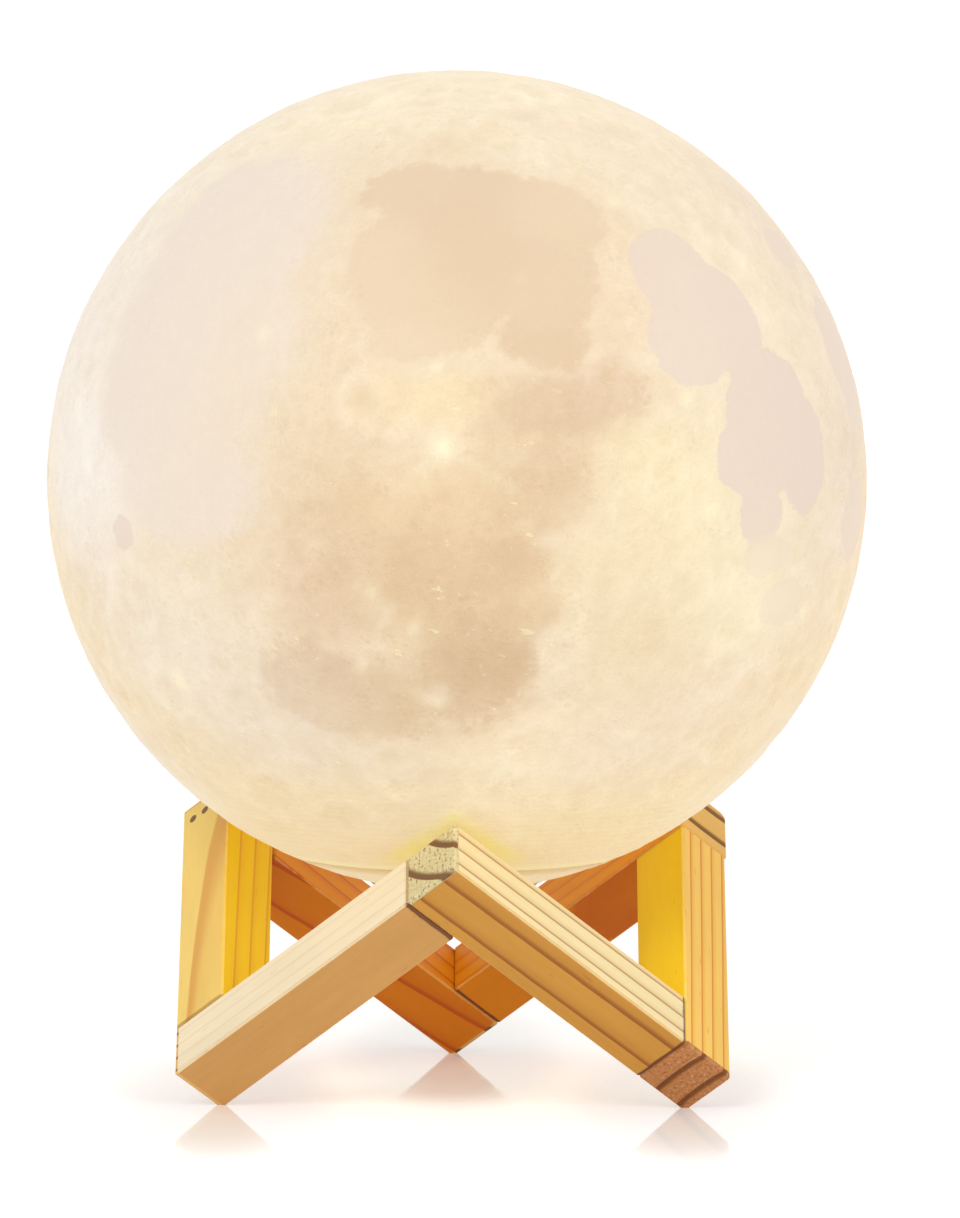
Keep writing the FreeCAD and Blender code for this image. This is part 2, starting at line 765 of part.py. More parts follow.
def make_socket():
    body = new_body("charge_socket")
    outside = new_sketch(body, "socket_outside", "XY_Plane")
    socket_outline(outside, "0.0")
    pad(body, outside, "socket_height")
    inside = new_sketch(body, "socket_inside", "XY_Plane")
    socket_outline(inside, "socket_wall")
    pocket(body, inside, "socket_height - socket_wall", reverse=True)
    keep(body, "charge_socket", base_place)

    top = "(socket_height - socket_wall)"
    middle = "(0 - socket_depth / 2)"
    tongue = box("tongue_block", "socket_place - tongue_width / 2",
                 "socket_place + tongue_width / 2", f"{middle} - tongue_thickness / 2",
                 f"{middle} + tongue_thickness / 2", f"{top} - tongue_height", top)
    keep_boxed(tongue, "socket_tongue")


def keep_boxed(thing, label):
    """Keep a box whose own place is already tied to the sheet, inside the base's frame."""
    carrier = doc.addObject("Part::Compound", label + "_group")
    carrier.Links = [thing]
    keep(carrier, label, base_place)


def make_lens():
    body = new_body("indicator_lens")
    outline = new_sketch(body, "lens_outline", "XY_Plane")
    draw_circle(outline, "lens_place", "0 - lens_depth", "lens_radius")
    pad(body, outline, "lens_height")
    keep(body, "indicator_lens", base_place)


def make_switch():
    """Side-acting push switch on the board, with a bore for its plunger."""
    body = new_body("switch_body")
    outline = new_sketch(body, "switch_outline", "XY_Plane", SWITCH_Z)
    draw_rectangle(outline, "button_place - switch_width / 2",
                   "button_place + switch_width / 2", "0 - switch_depth", "0")
    pad(body, outline, "switch_height")
    bore = new_sketch(body, "switch_bore", "XY_Plane", SWITCH_Z)
    draw_circle(bore, "button_place", "0 - button_depth", "plunger_radius + plunger_gap")
    pocket(body, bore, "plunger_grip + button_travel + plunger_gap", reverse=True)
    keep(body, "switch_body", base_place)


def make_button():
    body = new_body("push_button")
    stem = new_sketch(body, "button_stem", "XY_Plane", "0 - button_proud")
    draw_circle(stem, "button_place", "0 - button_depth", "button_radius")
    barrel = pad(body, stem, f"button_proud + {COLLAR_TOP} - button_collar_height")

    def is_bottom(line):
        return line.BoundBox.ZMax < size("button_dish - button_proud")
    dress_edges(body, barrel, "Fillet", "button_dish", is_bottom)
    collar = new_sketch(body, "button_flange", "XY_Plane",
                        f"{COLLAR_TOP} - button_collar_height")
    draw_circle(collar, "button_place", "0 - button_depth", "button_radius + button_collar")
    pad(body, collar, "button_collar_height")
    keep(body, "push_button", base_place)

    plunger = new_body("switch_plunger")
    outline = new_sketch(plunger, "plunger_outline", "XY_Plane", COLLAR_TOP)
    draw_circle(outline, "button_place", "0 - button_depth", "plunger_radius")
    pad(plunger, outline, f"{SWITCH_Z} + plunger_grip - {COLLAR_TOP}")
    keep(plunger, "switch_plunger", base_place)


BATTERY_LOW = "(floor_thickness + battery_lift)"
PAD_BACK = "(board_thickness + pad_thickness)"


def make_battery():
    body = new_body("battery_cell")
    outline = new_sketch(body, "battery_outline", "XY_Plane", BATTERY_LOW)
    draw_rectangle(outline, "0 - battery_width / 2", "battery_width / 2", PAD_BACK,
                   f"{PAD_BACK} + battery_thickness")
    block = pad(body, outline, BATTERY_HEIGHT)

    def is_upright(line):
        return line.BoundBox.ZLength > size(f"{BATTERY_HEIGHT} / 2")
    dress_edges(body, block, "Fillet", "battery_round", is_upright)
    keep(body, "battery_cell", base_place)

    foam = box("battery_foam", "battery_round - battery_width / 2",
               "battery_width / 2 - battery_round",
               "board_thickness", PAD_BACK, BATTERY_LOW,
               f"{BATTERY_LOW} + {BATTERY_HEIGHT} - battery_round")
    keep_boxed(foam, "battery_pad")


# ---------------------------------------------------------------- leads inside the base


def bent_path(points):
    """Straight runs joined by arcs, each as large as its two runs allow."""
    edges = []
    here = points[0]
    for index in range(1, len(points) - 1):
        corner = points[index]
        back = points[index - 1] - corner
        ahead = points[index + 1] - corner
        turn_half = (math.pi - back.getAngle(ahead)) / 2
        reach = 0.45 * min(back.Length, ahead.Length)
        radius = reach / math.tan(turn_half)
        start = corner + back.normalize() * reach
        finish = corner + ahead.normalize() * reach
        inward = (back + ahead).normalize()
        middle = corner + inward * (radius / math.cos(turn_half) - radius)
        edges.append(Part.LineSegment(here, start).toShape())
        edges.append(Part.Arc(start, middle, finish).toShape())
        here = finish
    edges.append(Part.LineSegment(here, points[-1]).toShape())
    return Part.Wire(edges)


def lead(points):
    """A round lead along the points, swept as one solid."""
    path = bent_path(points)
    radius = size("lead_radius")
    section = Part.Wire(Part.makeCircle(radius, points[0], points[1] - points[0]))
    tube = path.makePipeShell([section], True, False)
    expected = math.pi * radius ** 2 * path.Length
    if abs(tube.Volume - expected) > 0.02 * expected:
        raise RuntimeError("a lead's volume is not its section times its length")
    return tube


def make_leads():
    front = size("0 - lead_bow")
    board_top = size(f"floor_thickness + {BOARD_HEIGHT}")
    battery_top = size(f"{BATTERY_LOW} + {BATTERY_HEIGHT}")
    battery_middle = size(f"{PAD_BACK} + battery_thickness / 2")
    bend_top = board_top + size("lead_over")
    solder = board_top - size("lead_solder_drop")
    for label, place in (("battery_lead_red", "lead_red_place"),
                         ("battery_lead_black", "lead_black_place")):
        across = size(place)
        wire = doc.addObject("Part::Feature", label)
        wire.Shape = lead([
            Vector(across, battery_middle, battery_top),
            Vector(across, battery_middle, bend_top),
            Vector(across, front, bend_top),
            Vector(across, front, solder),
            Vector(across, 0, solder),
        ])
        keep(wire, label, base_place)

    low_solder = size("floor_thickness + lead_solder_rise")
    light_top = size("cup_height + lid_thickness + light_board_thickness")
    pair = []
    for across, up in LEAD_PLACES:
        start = Vector(size(across), 0, low_solder)
        pair.append(lead([
            start,
            Vector(start.x, size(up), start.z),
            Vector(start.x, size(up), light_top + size("lead_radius")),
        ]))
    light_leads = doc.addObject("Part::Feature", "light_leads")
    light_leads.Shape = Part.makeCompound(pair)
    keep(light_leads, "light_leads", base_place)

    tab = size("tab_place")
    tab_top = size("touch_groove + tab_height")
    touch_lead = doc.addObject("Part::Feature", "touch_lead")
    touch_lead.Shape = lead([
        Vector(tab, -tab, tab_top),
        Vector(tab, -tab, low_solder),
        Vector(tab, 0, low_solder),
    ])
    keep(touch_lead, "touch_lead", base_place)


make_housing()
make_touch_ring()
make_ring_nut()
make_lid()
make_light_board()
make_emitters()
make_screws()
make_board()
make_board_parts()
make_socket()
make_lens()
make_switch()
make_button()
make_battery()
make_leads()

# ---------------------------------------------------------------- checks and export

doc.recompute()
for thing in doc.Objects:
    if "Invalid" in thing.State or "Error" in thing.State:
        raise RuntimeError(thing.Label + " failed: " + ", ".join(thing.State))
for thing in nodes:
    if thing.Shape.isNull() or not thing.Shape.isValid() or not thing.Shape.Solids:
        raise RuntimeError(thing.Label + " has no valid solid")

os.makedirs("parts", exist_ok=True)
for thing in nodes:
    thing.Shape.exportStep(os.path.join("parts", thing.Label + ".step"))
print(len(nodes), "sub-parts; the globe's middle is", round(globe_place.Base.z, 2), "mm up")
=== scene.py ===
import math
import random
from typing import NamedTuple

import bmesh
import bpy
import numpy as np
from mathutils import Matrix, Vector


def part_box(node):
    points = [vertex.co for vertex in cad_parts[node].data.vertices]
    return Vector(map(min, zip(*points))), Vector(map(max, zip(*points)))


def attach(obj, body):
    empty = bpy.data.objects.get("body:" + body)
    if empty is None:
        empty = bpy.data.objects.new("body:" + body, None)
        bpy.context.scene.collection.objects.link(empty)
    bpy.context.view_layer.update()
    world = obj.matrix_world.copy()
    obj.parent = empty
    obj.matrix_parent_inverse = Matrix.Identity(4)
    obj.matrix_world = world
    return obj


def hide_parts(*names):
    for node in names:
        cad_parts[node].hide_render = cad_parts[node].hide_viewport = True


bl_info = {
    "name": "Moon Lamp",
    "version": (1, 0, 0),
    "blender": (4, 5, 0),
    "location": "View3D > Sidebar > Moon Lamp",
    "description": "Printed moon globe, lit from inside, on a nailed pine stand",
    "category": "Add Mesh",
}

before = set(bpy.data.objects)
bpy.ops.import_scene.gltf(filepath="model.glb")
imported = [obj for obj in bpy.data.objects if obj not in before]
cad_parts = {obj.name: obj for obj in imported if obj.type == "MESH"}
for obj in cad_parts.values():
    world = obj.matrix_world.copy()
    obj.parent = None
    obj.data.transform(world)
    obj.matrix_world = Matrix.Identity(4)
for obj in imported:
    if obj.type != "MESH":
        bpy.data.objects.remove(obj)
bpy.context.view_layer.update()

# ---------------------------------------------------------------- sizes from the frame, metres

MM = 0.001
SHELL_LOW, SHELL_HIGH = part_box("moon_shell")
GLOBE_RADIUS = (SHELL_HIGH[0] - SHELL_LOW[0]) / 2
GLOBE_Z = SHELL_HIGH[2] - GLOBE_RADIUS
GLOBE_MIDDLE = Vector((0, 0, GLOBE_Z))
BASE_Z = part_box("base_housing")[0][2]
COLLAR_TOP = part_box("bottom_cap")[1][2]
OPENING = 30.3 * MM
COLLAR_RADIUS, COLLAR_BORE, COLLAR_HEIGHT = 26.7 * MM, 24.9 * MM, 4.6 * MM
BOSS_RADIUS, BOSS_HEIGHT = 19.0 * MM, 3.7 * MM
SEAT_RADIUS, SEAT_HEIGHT, CAP_BORE = 16.8 * MM, 1.3 * MM, 14.45 * MM
CAP_STEPS = 200
SEAM_Z = GLOBE_Z - math.sqrt(GLOBE_RADIUS ** 2 - OPENING ** 2)


# ---------------------------------------------------------------- shader expressions

class Value:
    """A number socket, or a plain number, that takes part in Python expressions."""

    def __init__(self, tree, source):
        self.tree = tree
        self.source = source

    def math(self, operation, *others):
        node = self.tree.nodes.new("ShaderNodeMath")
        node.operation = operation
        for place, value in enumerate((self, *others)):
            source = value.source if isinstance(value, Value) else value
            if isinstance(source, bpy.types.NodeSocket):
                self.tree.links.new(source, node.inputs[place])
            else:
                node.inputs[place].default_value = source
        return Value(self.tree, node.outputs[0])

    def __add__(self, other):
        return self.math("ADD", other)

    def __radd__(self, other):
        return self.math("ADD", other)

    def __sub__(self, other):
        return self.math("SUBTRACT", other)

    def __rsub__(self, other):
        return Value(self.tree, other).math("SUBTRACT", self)

    def __mul__(self, other):
        return self.math("MULTIPLY", other)

    def __rmul__(self, other):
        return self.math("MULTIPLY", other)

    def __truediv__(self, other):
        return self.math("DIVIDE", other)

    def __pow__(self, other):
        return self.math("POWER", other)

    def __abs__(self):
        return self.math("ABSOLUTE")

    def low(self, other):
        return self.math("MINIMUM", other)

    def high(self, other):
        return self.math("MAXIMUM", other)

    def fraction(self):
        return self.math("FRACT")

    def step(self, start, end):
        """0 before start and 1 after end, smooth between; end may be the smaller."""
        part = ((self - start) / (end - start)).high(0.0).low(1.0)
        return part * part * (3.0 - 2.0 * part)


class Material:
    """A material being made: one Principled shader and the nodes that feed it."""

    def __init__(self, name):
        self.material = bpy.data.materials.new(name)
        self.material.use_nodes = True
        self.tree = self.material.node_tree
        self.shader = self.tree.nodes["Principled BSDF"]
        self.place = self.node("ShaderNodeTexCoord").outputs["Object"]

    def node(self, kind, settings=None, **values):
        """A node of this type: settings first, then values or links by socket name."""
        node = self.tree.nodes.new(kind)
        for name, value in (settings or {}).items():
            setattr(node, name, value)
        for name, value in values.items():
            socket = node.inputs[name.replace("_", " ")]
            source = value.source if isinstance(value, Value) else value
            if isinstance(source, bpy.types.NodeSocket):
                self.tree.links.new(source, socket)
            else:
                socket.default_value = source
        return node

    def value(self, socket):
        return Value(self.tree, socket)

    def parts(self, vector):
        """The three numbers of a vector."""
        node = self.node("ShaderNodeSeparateXYZ", Vector=vector)
        return [self.value(socket) for socket in node.outputs]

    def turned(self, location, rotation=(0, 0, 0), scale=(1, 1, 1), vector=None):
        """Points seen from a frame that stands at location and is turned by rotation."""
        node = self.node("ShaderNodeMapping", {"vector_type": "TEXTURE"},
                         Vector=vector or self.place)
        node.inputs["Location"].default_value = location
        node.inputs["Rotation"].default_value = rotation
        node.inputs["Scale"].default_value = scale
        return node.outputs[0]

    def noise(self, scale, detail=3.0, roughness=0.5, vector=None):
        """Noise about 0, mostly from -0.5 to 0.5; scale is in lumps per metre."""
        node = self.node("ShaderNodeTexNoise", Vector=vector or self.place, Scale=scale,
                         Detail=detail, Roughness=roughness)
        return self.value(node.outputs[0]) - 0.5

    def cells(self, scale):
        """Distance to the nearest of scattered points, scale of them per metre."""
        node = self.node("ShaderNodeTexVoronoi", Vector=self.place, Scale=scale)
        return self.value(node.outputs["Distance"])

    def mix(self, factor, first, second, blend="MIX"):
        """A colour between first and second, which are colours or colour sockets."""
        node = self.tree.nodes.new("ShaderNodeMix")
        node.data_type = "RGBA"
        node.blend_type = blend
        for socket, source in ((node.inputs[0], factor), (node.inputs[6], first),
                               (node.inputs[7], second)):
            source = source.source if isinstance(source, Value) else source
            if isinstance(source, bpy.types.NodeSocket):
                self.tree.links.new(source, socket)
            else:
                socket.default_value = source
        return node.outputs[2]

    def attribute(self, name):
        """A colour stored on the mesh."""
        return self.node("ShaderNodeAttribute", {"attribute_name": name}).outputs["Color"]

    def four(self, name):
        """The four numbers of a colour attribute."""
        node = self.node("ShaderNodeAttribute", {"attribute_name": name})
        return [*self.parts(node.outputs["Color"]), self.value(node.outputs["Alpha"])]

    def grey(self, value):
        """A number as a colour."""
        return self.node("ShaderNodeCombineXYZ", X=value, Y=value, Z=value).outputs[0]

    def bump(self, height, distance, strength):
        """Bump from a height of 0 to 1 that stands for this distance in metres."""
        node = self.node("ShaderNodeBump", Height=height)
        node.inputs["Strength"].default_value = strength
        node.inputs["Distance"].default_value = distance
        self.feed("Normal", node.outputs[0])

    def feed(self, name, source):
        """Links or sets one of the shader's own sockets."""
        socket = self.shader.inputs[name]
        source = source.source if isinstance(source, Value) else source
        if isinstance(source, bpy.types.NodeSocket):
            self.tree.links.new(source, socket)
        else:
            socket.default_value = source


def colour(red, green, blue):
    """A screen colour of 0 to 255 as the shader's linear colour."""
    linear = [c / 3294.6 if c <= 10 else ((c / 255 + 0.055) / 1.055) ** 2.4
              for c in (red, green, blue)]
    return (*linear, 1.0)


def scaled(tone, factor):
    """A linear colour made lighter or darker."""
    return (tone[0] * factor, tone[1] * factor, tone[2] * factor, 1.0)


# ---------------------------------------------------------------- the moon's pattern
# Places are degrees of latitude and of turn to the right of the front, and so are sizes.

GROUND = (247, 231, 204)
# A wash is (latitude, turn, half width, half height, softness, strength, screen colour).
WASHES = [
    # some washes are painted light, not the moon's own tone: the warm middle at 8, 0, the
    # rosier right limb at turn 78, the warmer bands low down at latitudes -36 and -56, and the
    # paler left limb at turn -76, which is partly the pale sea there
    (4, -76, 26, 60, 0.8, 0.8, (245, 235, 224)), (74, 0, 36, 15, 0.6, 0.8, (252, 236, 205)),
    (62, 24, 20, 4, 0.9, 0.6, (243, 221, 192)), (61, -6, 22, 4, 0.8, 0.5, (249, 233, 200)),
    (47, 60, 18, 14, 0.8, 0.8, (245, 226, 199)), (8, 78, 14, 34, 0.7, 0.85, (233, 214, 195)),
    (-20, 68, 16, 18, 0.8, 0.8, (238, 219, 195)), (-36, 0, 80, 14, 0.8, 0.7, (246, 225, 193)),
    (-56, 0, 90, 12, 0.7, 0.7, (246, 222, 178)), (8, 0, 40, 34, 0.9, 0.75, (244, 222, 189)),
    (14, -27, 8, 17, 0.9, 0.8, (240, 220, 188)), (-6, -14, 17, 16, 0.9, 0.8, (236, 210, 176)),
    (34, -16, 12, 20, 0.8, 0.85, (240, 217, 186)), (36, 14, 17, 17, 0.5, 0.75, (240, 217, 185)),
    (24, -28, 6, 22, 0.6, 0.55, (243, 225, 200)), (30, 27, 3, 12, 0.8, 0.6, (243, 221, 190)),
    # low dark ground and its darkest hollows
    (-7, -3, 14, 9, 0.6, 0.85, (231, 203, 165)), (-2, -12, 8, 6, 0.8, 0.7, (234, 207, 172)),
    (-9, -6, 5, 5, 0.7, 0.8, (228, 198, 158)), (-7, 6, 5, 4, 0.6, 0.85, (228, 197, 160)),
    (-16, 1, 9, 3, 0.7, 0.8, (228, 199, 160)), (-23, 4, 8, 7.5, 0.35, 0.95, (219, 189, 153)),
    (-14, 10, 4, 3, 0.6, 0.7, (231, 203, 164)), (-24, -20, 9, 6, 0.5, 0.9, (228, 202, 172)),
    (-29, -11, 8, 5, 0.6, 0.8, (228, 201, 165)), (-11, -17, 6, 8, 0.7, 0.7, (233, 205, 173)),
    (-5, 0, 4, 3, 0.8, 0.6, (240, 211, 172)), (4, 6, 7, 5, 0.7, 0.8, (232, 205, 168)),
    (-28, 6, 6, 4, 0.5, 0.7, (230, 202, 168)),
    # the browns between the two halves
    (13, 13, 11, 5.5, 0.6, 0.9, (230, 202, 170)), (16, 23, 5, 4, 0.5, 0.7, (234, 207, 176)),
    (6, 13, 6, 7, 0.6, 0.85, (232, 204, 170)), (10, 7, 8, 2, 0.6, 0.8, (236, 207, 170)),
    (3, -4, 9, 5, 0.8, 0.6, (241, 214, 175)), (11, -18, 7, 6, 0.8, 0.6, (240, 216, 183)),
    (15, -4, 10, 4, 0.6, 0.8, (248, 225, 184)),
    # bright land right of the middle
    (2, 33, 11, 8, 0.9, 0.75, (251, 233, 193)), (8, 25, 6, 4, 0.8, 0.5, (248, 229, 184)),
    (-8, 40, 9, 8, 0.8, 0.8, (250, 233, 197)), (-10, 26, 11, 7, 0.9, 0.6, (247, 227, 188)),
    (-15, 45, 8, 6, 0.8, 0.8, (254, 239, 205)), (-21, 28, 11, 8, 0.9, 0.6, (243, 222, 185)),
    (-37, 12, 8, 10, 0.8, 0.8, (253, 232, 198)), (-34, 36, 14, 9, 0.9, 0.6, (247, 227, 199)),
    (24, 70, 10, 12, 0.8, 0.7, (245, 228, 200)),
    # the pale left side
    (3, -64, 13, 10, 0.8, 0.85, (250, 240, 229)), (-21, -44, 14, 10, 0.9, 0.6, (246, 232, 214)),
    (-32, -30, 12, 8, 0.9, 0.6, (244, 227, 205)), (-54, -30, 12, 6, 0.8, 0.5, (243, 220, 192)),
    # the far side
    (24, 148, 9, 8, 0.5, 0.8, (230, 207, 178)), (-42, 175, 22, 12, 0.7, 0.75, (233, 210, 180)),
    (-12, 130, 10, 8, 0.6, 0.7, (234, 212, 182)), (4, -150, 26, 20, 0.9, 0.6, (250, 236, 208)),
    (40, -120, 18, 10, 0.8, 0.6, (238, 217, 188)),
    (-18, -104, 12, 12, 0.6, 0.75, (232, 209, 178)),
    (56, 160, 16, 8, 0.8, 0.5, (251, 236, 206)), (10, 108, 9, 14, 0.8, 0.6, (249, 233, 205)),
]
# A sea is (latitude, turn, half width, half height, how dark).
WARM_SEAS = [(39, 3, 13, 12.5, 1.0), (48, -9, 7, 4.5, 0.75), (43, 15, 9, 7, 0.5),
             (33, 14, 8, 9, 0.8), (29, -4, 9, 7, 0.7), (25, 13, 6, 5, 0.95),
             (34, -10, 7, 10, 0.3), (25, -7, 6, 4, 0.3)]
ROSE_SEAS = [(34, 38, 7, 7, 0.85), (27, 43, 8.5, 8, 0.9), (23, 37, 7, 6, 0.85),
             (12, 50, 9, 9, 1.0), (6, 45, 7, 6, 1.0), (7, 56, 6, 8, 1.0), (-1, 46, 4.5, 5, 0.9),
             (-7, 48, 5.6, 3, 0.25), (-14, 53, 4.6, 3.4, 0.3), (19, 78, 6, 9, 0.8),
             (-4, 74, 6, 6, 0.7), (36, 74, 5, 4, 0.6), (-5, -53, 2.6, 2.8, 0.7)]
PALE_SEAS = [(43, -45, 13, 12, 1.0), (36, -38, 9, 18, 1.0), (22, -47, 14, 17, 1.0),
             (3, -41, 12, 9, 0.9), (22, -35, 8, 16, 0.6), (44, -36, 7, 9, 0.9)]
DARK_SEAS = [(-23, 4, 8, 7.5, 0.85), (-14, 10, 4, 4, 0.4), (-24, -20, 9, 6, 0.6),
             (-29, -12, 8, 4.5, 0.5), (-9, -5, 8, 6, 0.35), (-7, 6, 5, 4, 0.5),
             (-11, -17, 5, 7, 0.35), (14, 13, 11, 5, 0.5), (16, 23, 5, 4, 0.42),
             (6, 13, 6, 7, 0.38), (-1, -12, 8, 5, 0.25), (23, 13, 5, 3, 0.35)]
# A bright spot is (latitude, turn, radius, strength, reach of its rays).
SPOT_TONE = (255, 244, 208)
SPOTS = [
    (24, -30, 1.3, 1.0, 3), (9, -2, 1.9, 1.0, 9), (6, -43, 0.9, 0.5, 5),
    (20, -3, 0.8, 0.7, 2), (0, 37, 1.0, 0.7, 3), (15, 34, 1.0, 0.6, 3),
    (-39, 8, 1.6, 0.6, 30), (-22, -14, 1.2, 0.6, 4), (33, 10, 0.8, 0.6, 2),
    (34, 55, 1.2, 0.6, 5), (46, 32, 1.3, 0.6, 7), (-33, 30, 1.2, 0.4, 6),
    (-26, -47, 1.8, 0.7, 5), (64, -30, 1.2, 0.4, 6), (-16, 60, 1.4, 0.5, 6),
    (-11, -12, 1.0, 0.5, 3), (-16, -6, 1.0, 0.4, 3), (-27, -3, 1.0, 0.4, 3),
    (12, 132, 1.4, 0.8, 16), (-24, -150, 1.2, 0.7, 10), (46, -160, 1.2, 0.6, 8),
    (-6, 168, 1.0, 0.6, 6), (30, -98, 1.0, 0.6, 6),
]
# A large crater is (latitude, turn, radius, depth in mm).
LARGE_DENTS = [
    (-5, -53, 2.8, 0.55), (-39, 8, 2.4, 0.50), (9, -2, 2.0, 0.30), (50, 7, 2.4, 0.40),
    (24, -30, 1.4, 0.35), (-52, 4, 5.5, 0.45), (-35, 13, 4.0, 0.40), (-8, 14, 4.4, 0.40),
    (-14, 15, 3.0, 0.40), (-19, 14, 3.0, 0.35), (-11, 34, 3.4, 0.30), (-24, 44, 3.6, 0.40),
    (-42, 46, 4.0, 0.45), (38, 58, 3.0, 0.40), (-14, 74, 4.0, 0.40), (48, 42, 2.6, 0.40),
    (-46, -38, 5.0, 0.45), (-50, -24, 4.0, 0.40), (60, -30, 3.4, 0.40), (66, 22, 3.2, 0.40),
    (-16, -56, 3.2, 0.40), (-28, -50, 3.6, 0.45), (70, -14, 3.0, 0.40), (57, 12, 2.4, 0.35),
    (24, 148, 6.5, 0.55), (-20, -128, 6.0, 0.50), (-42, 175, 7.0, 0.50), (5, -160, 4.6, 0.50),
    (36, -120, 5.0, 0.50), (-14, 128, 5.2, 0.50), (52, 120, 4.4, 0.45), (-4, 150, 3.6, 0.45),
    (14, 178, 4.0, 0.45), (-30, -165, 3.4, 0.45), (-34, 140, 4.2, 0.45), (10, 110, 3.8, 0.45),
]
DENT_COUNT = 1100           # small craters, scattered over the whole globe
DENT_SEED = 11
SEA_DEPTH = 0.16            # mm, and so are the next three
SKIN_DEPTH = 0.20           # of the uneven ground
PRESS_DEPTH = 0.16          # of the ground's middle height below the solid's face
DEEPEST = 1.0


def direction(latitude, turn):
    """Unit vector to a place on the globe; the front is -Y."""
    a, b = math.radians(latitude), math.radians(turn)
    return np.array([math.cos(a) * math.sin(b), -math.cos(a) * math.cos(b), math.sin(a)])


def compass(middle):
    """Unit directions to the east and to the north of a place on the globe."""
    north = np.array([0.0, 0.0, 1.0]) - middle * middle[2]
    north /= np.linalg.norm(north)
    return np.cross(north, middle), north


def lattice(points, seed):
    """Smooth noise from -1 to 1 on a lattice of unit cells."""
    base = np.floor(points).astype(np.int64)
    part = points - base
    ease = part * part * (3 - 2 * part)
    total = np.zeros(len(points))
    for corner in range(8):
        shift = np.array([corner & 1, corner >> 1 & 1, corner >> 2 & 1])
        cell = base + shift
        mixed = (cell[:, 0] * 374761393 + cell[:, 1] * 668265263
                 + cell[:, 2] * 1274126177 + seed * 974634777)
        mixed = (mixed ^ (mixed >> 13)) * 1103515245
        mixed = (mixed ^ (mixed >> 16)) & 0xFFFF
        weight = np.prod(np.where(shift, ease, 1 - ease), axis=1)
        total += weight * (mixed / 32767.5 - 1)
    return total


def fractal(points, scale, octaves, seed):
    """Noise from -1 to 1 with finer and weaker layers."""
    total = np.zeros(len(points))
    size, whole = 1.0, 0.0
    for octave in range(octaves):
        total += size * lattice(points * scale + 17.3 * octave, seed + octave)
        whole += size
        size *= 0.6
        scale *= 2.03
    return total / whole


def smooth(start, end, x):
    """0 before start and 1 after end, smooth between."""
    part = np.clip((x - start) / (end - start), 0, 1)
    return part * part * (3 - 2 * part)


def away(points, middle):
    """Degrees between each point and a place on the globe."""
    return np.degrees(np.arccos(np.clip(points @ middle, -1, 1)))


def reach_of(points, latitude, turn, wide, tall):
    """Distance from the middle of an oval, 1 on its outline."""
    middle = direction(latitude, turn)
    east, north = compass(middle)
    x = np.degrees(np.arcsin(np.clip(points @ east, -1, 1))) / wide
    y = np.degrees(np.arcsin(np.clip(points @ north, -1, 1))) / tall
    return np.where(points @ middle > 0, np.sqrt(x * x + y * y), 9.0)


def sea_field(points, seas, bend, width):
    """How far inside a group of seas each point is: 0.5 on the coast; and how dark there."""
    field = np.zeros(len(points))
    level = np.zeros(len(points))
    weight = np.full(len(points), 1e-6)
    for latitude, turn, wide, tall, dark in seas:
        small = min(wide, tall)
        gap = reach_of(points, latitude, turn, wide, tall) + bend * (1.9 / small + 0.10)
        field = np.maximum(field, smooth(1 + width / small, 1 - width / small, gap))
        share = np.exp(-4 * np.clip(gap - 0.4, 0, 4)) + 1e-9
        level += dark * share
        weight += share
    return field, level / weight


def dents(points, dark, roll):
    """Depth in mm of the craters, and how much each point lies on a rim or in a bowl, as
    painted shade: lighter on rims, darker in bowls.
    """
    depth = np.zeros(len(points))
    shade = np.zeros(len(points))
    every = list(LARGE_DENTS)
    for _ in range(DENT_COUNT):
        z = roll.uniform(-1, 1)
        turn = roll.uniform(-180, 180)
        radius = min(5.0, 0.95 * roll.uniform(0.02, 1) ** -0.5)
        every.append((math.degrees(math.asin(z)), turn, radius,
                      0.12 + 0.06 * radius * roll.uniform(0.6, 1.2)))
    for latitude, turn, radius, deep in every:
        middle = direction(latitude, turn)
        near = np.nonzero(points @ middle > math.cos(math.radians(radius * 1.8)))[0]
        gap = away(points[near], middle) / radius
        bowl = np.where(gap < 1, 1 - gap * gap, 0)
        rim = np.exp(-((gap - 1.05) / 0.22) ** 2)
        quiet = 1 - 0.85 * dark[near]
        depth[near] += deep * (0.8 * bowl - 0.34 * rim) * quiet
        shade[near] += (rim - 0.8 * bowl) * quiet * min(1.0, 0.45 + 0.12 * radius)
    return depth, shade


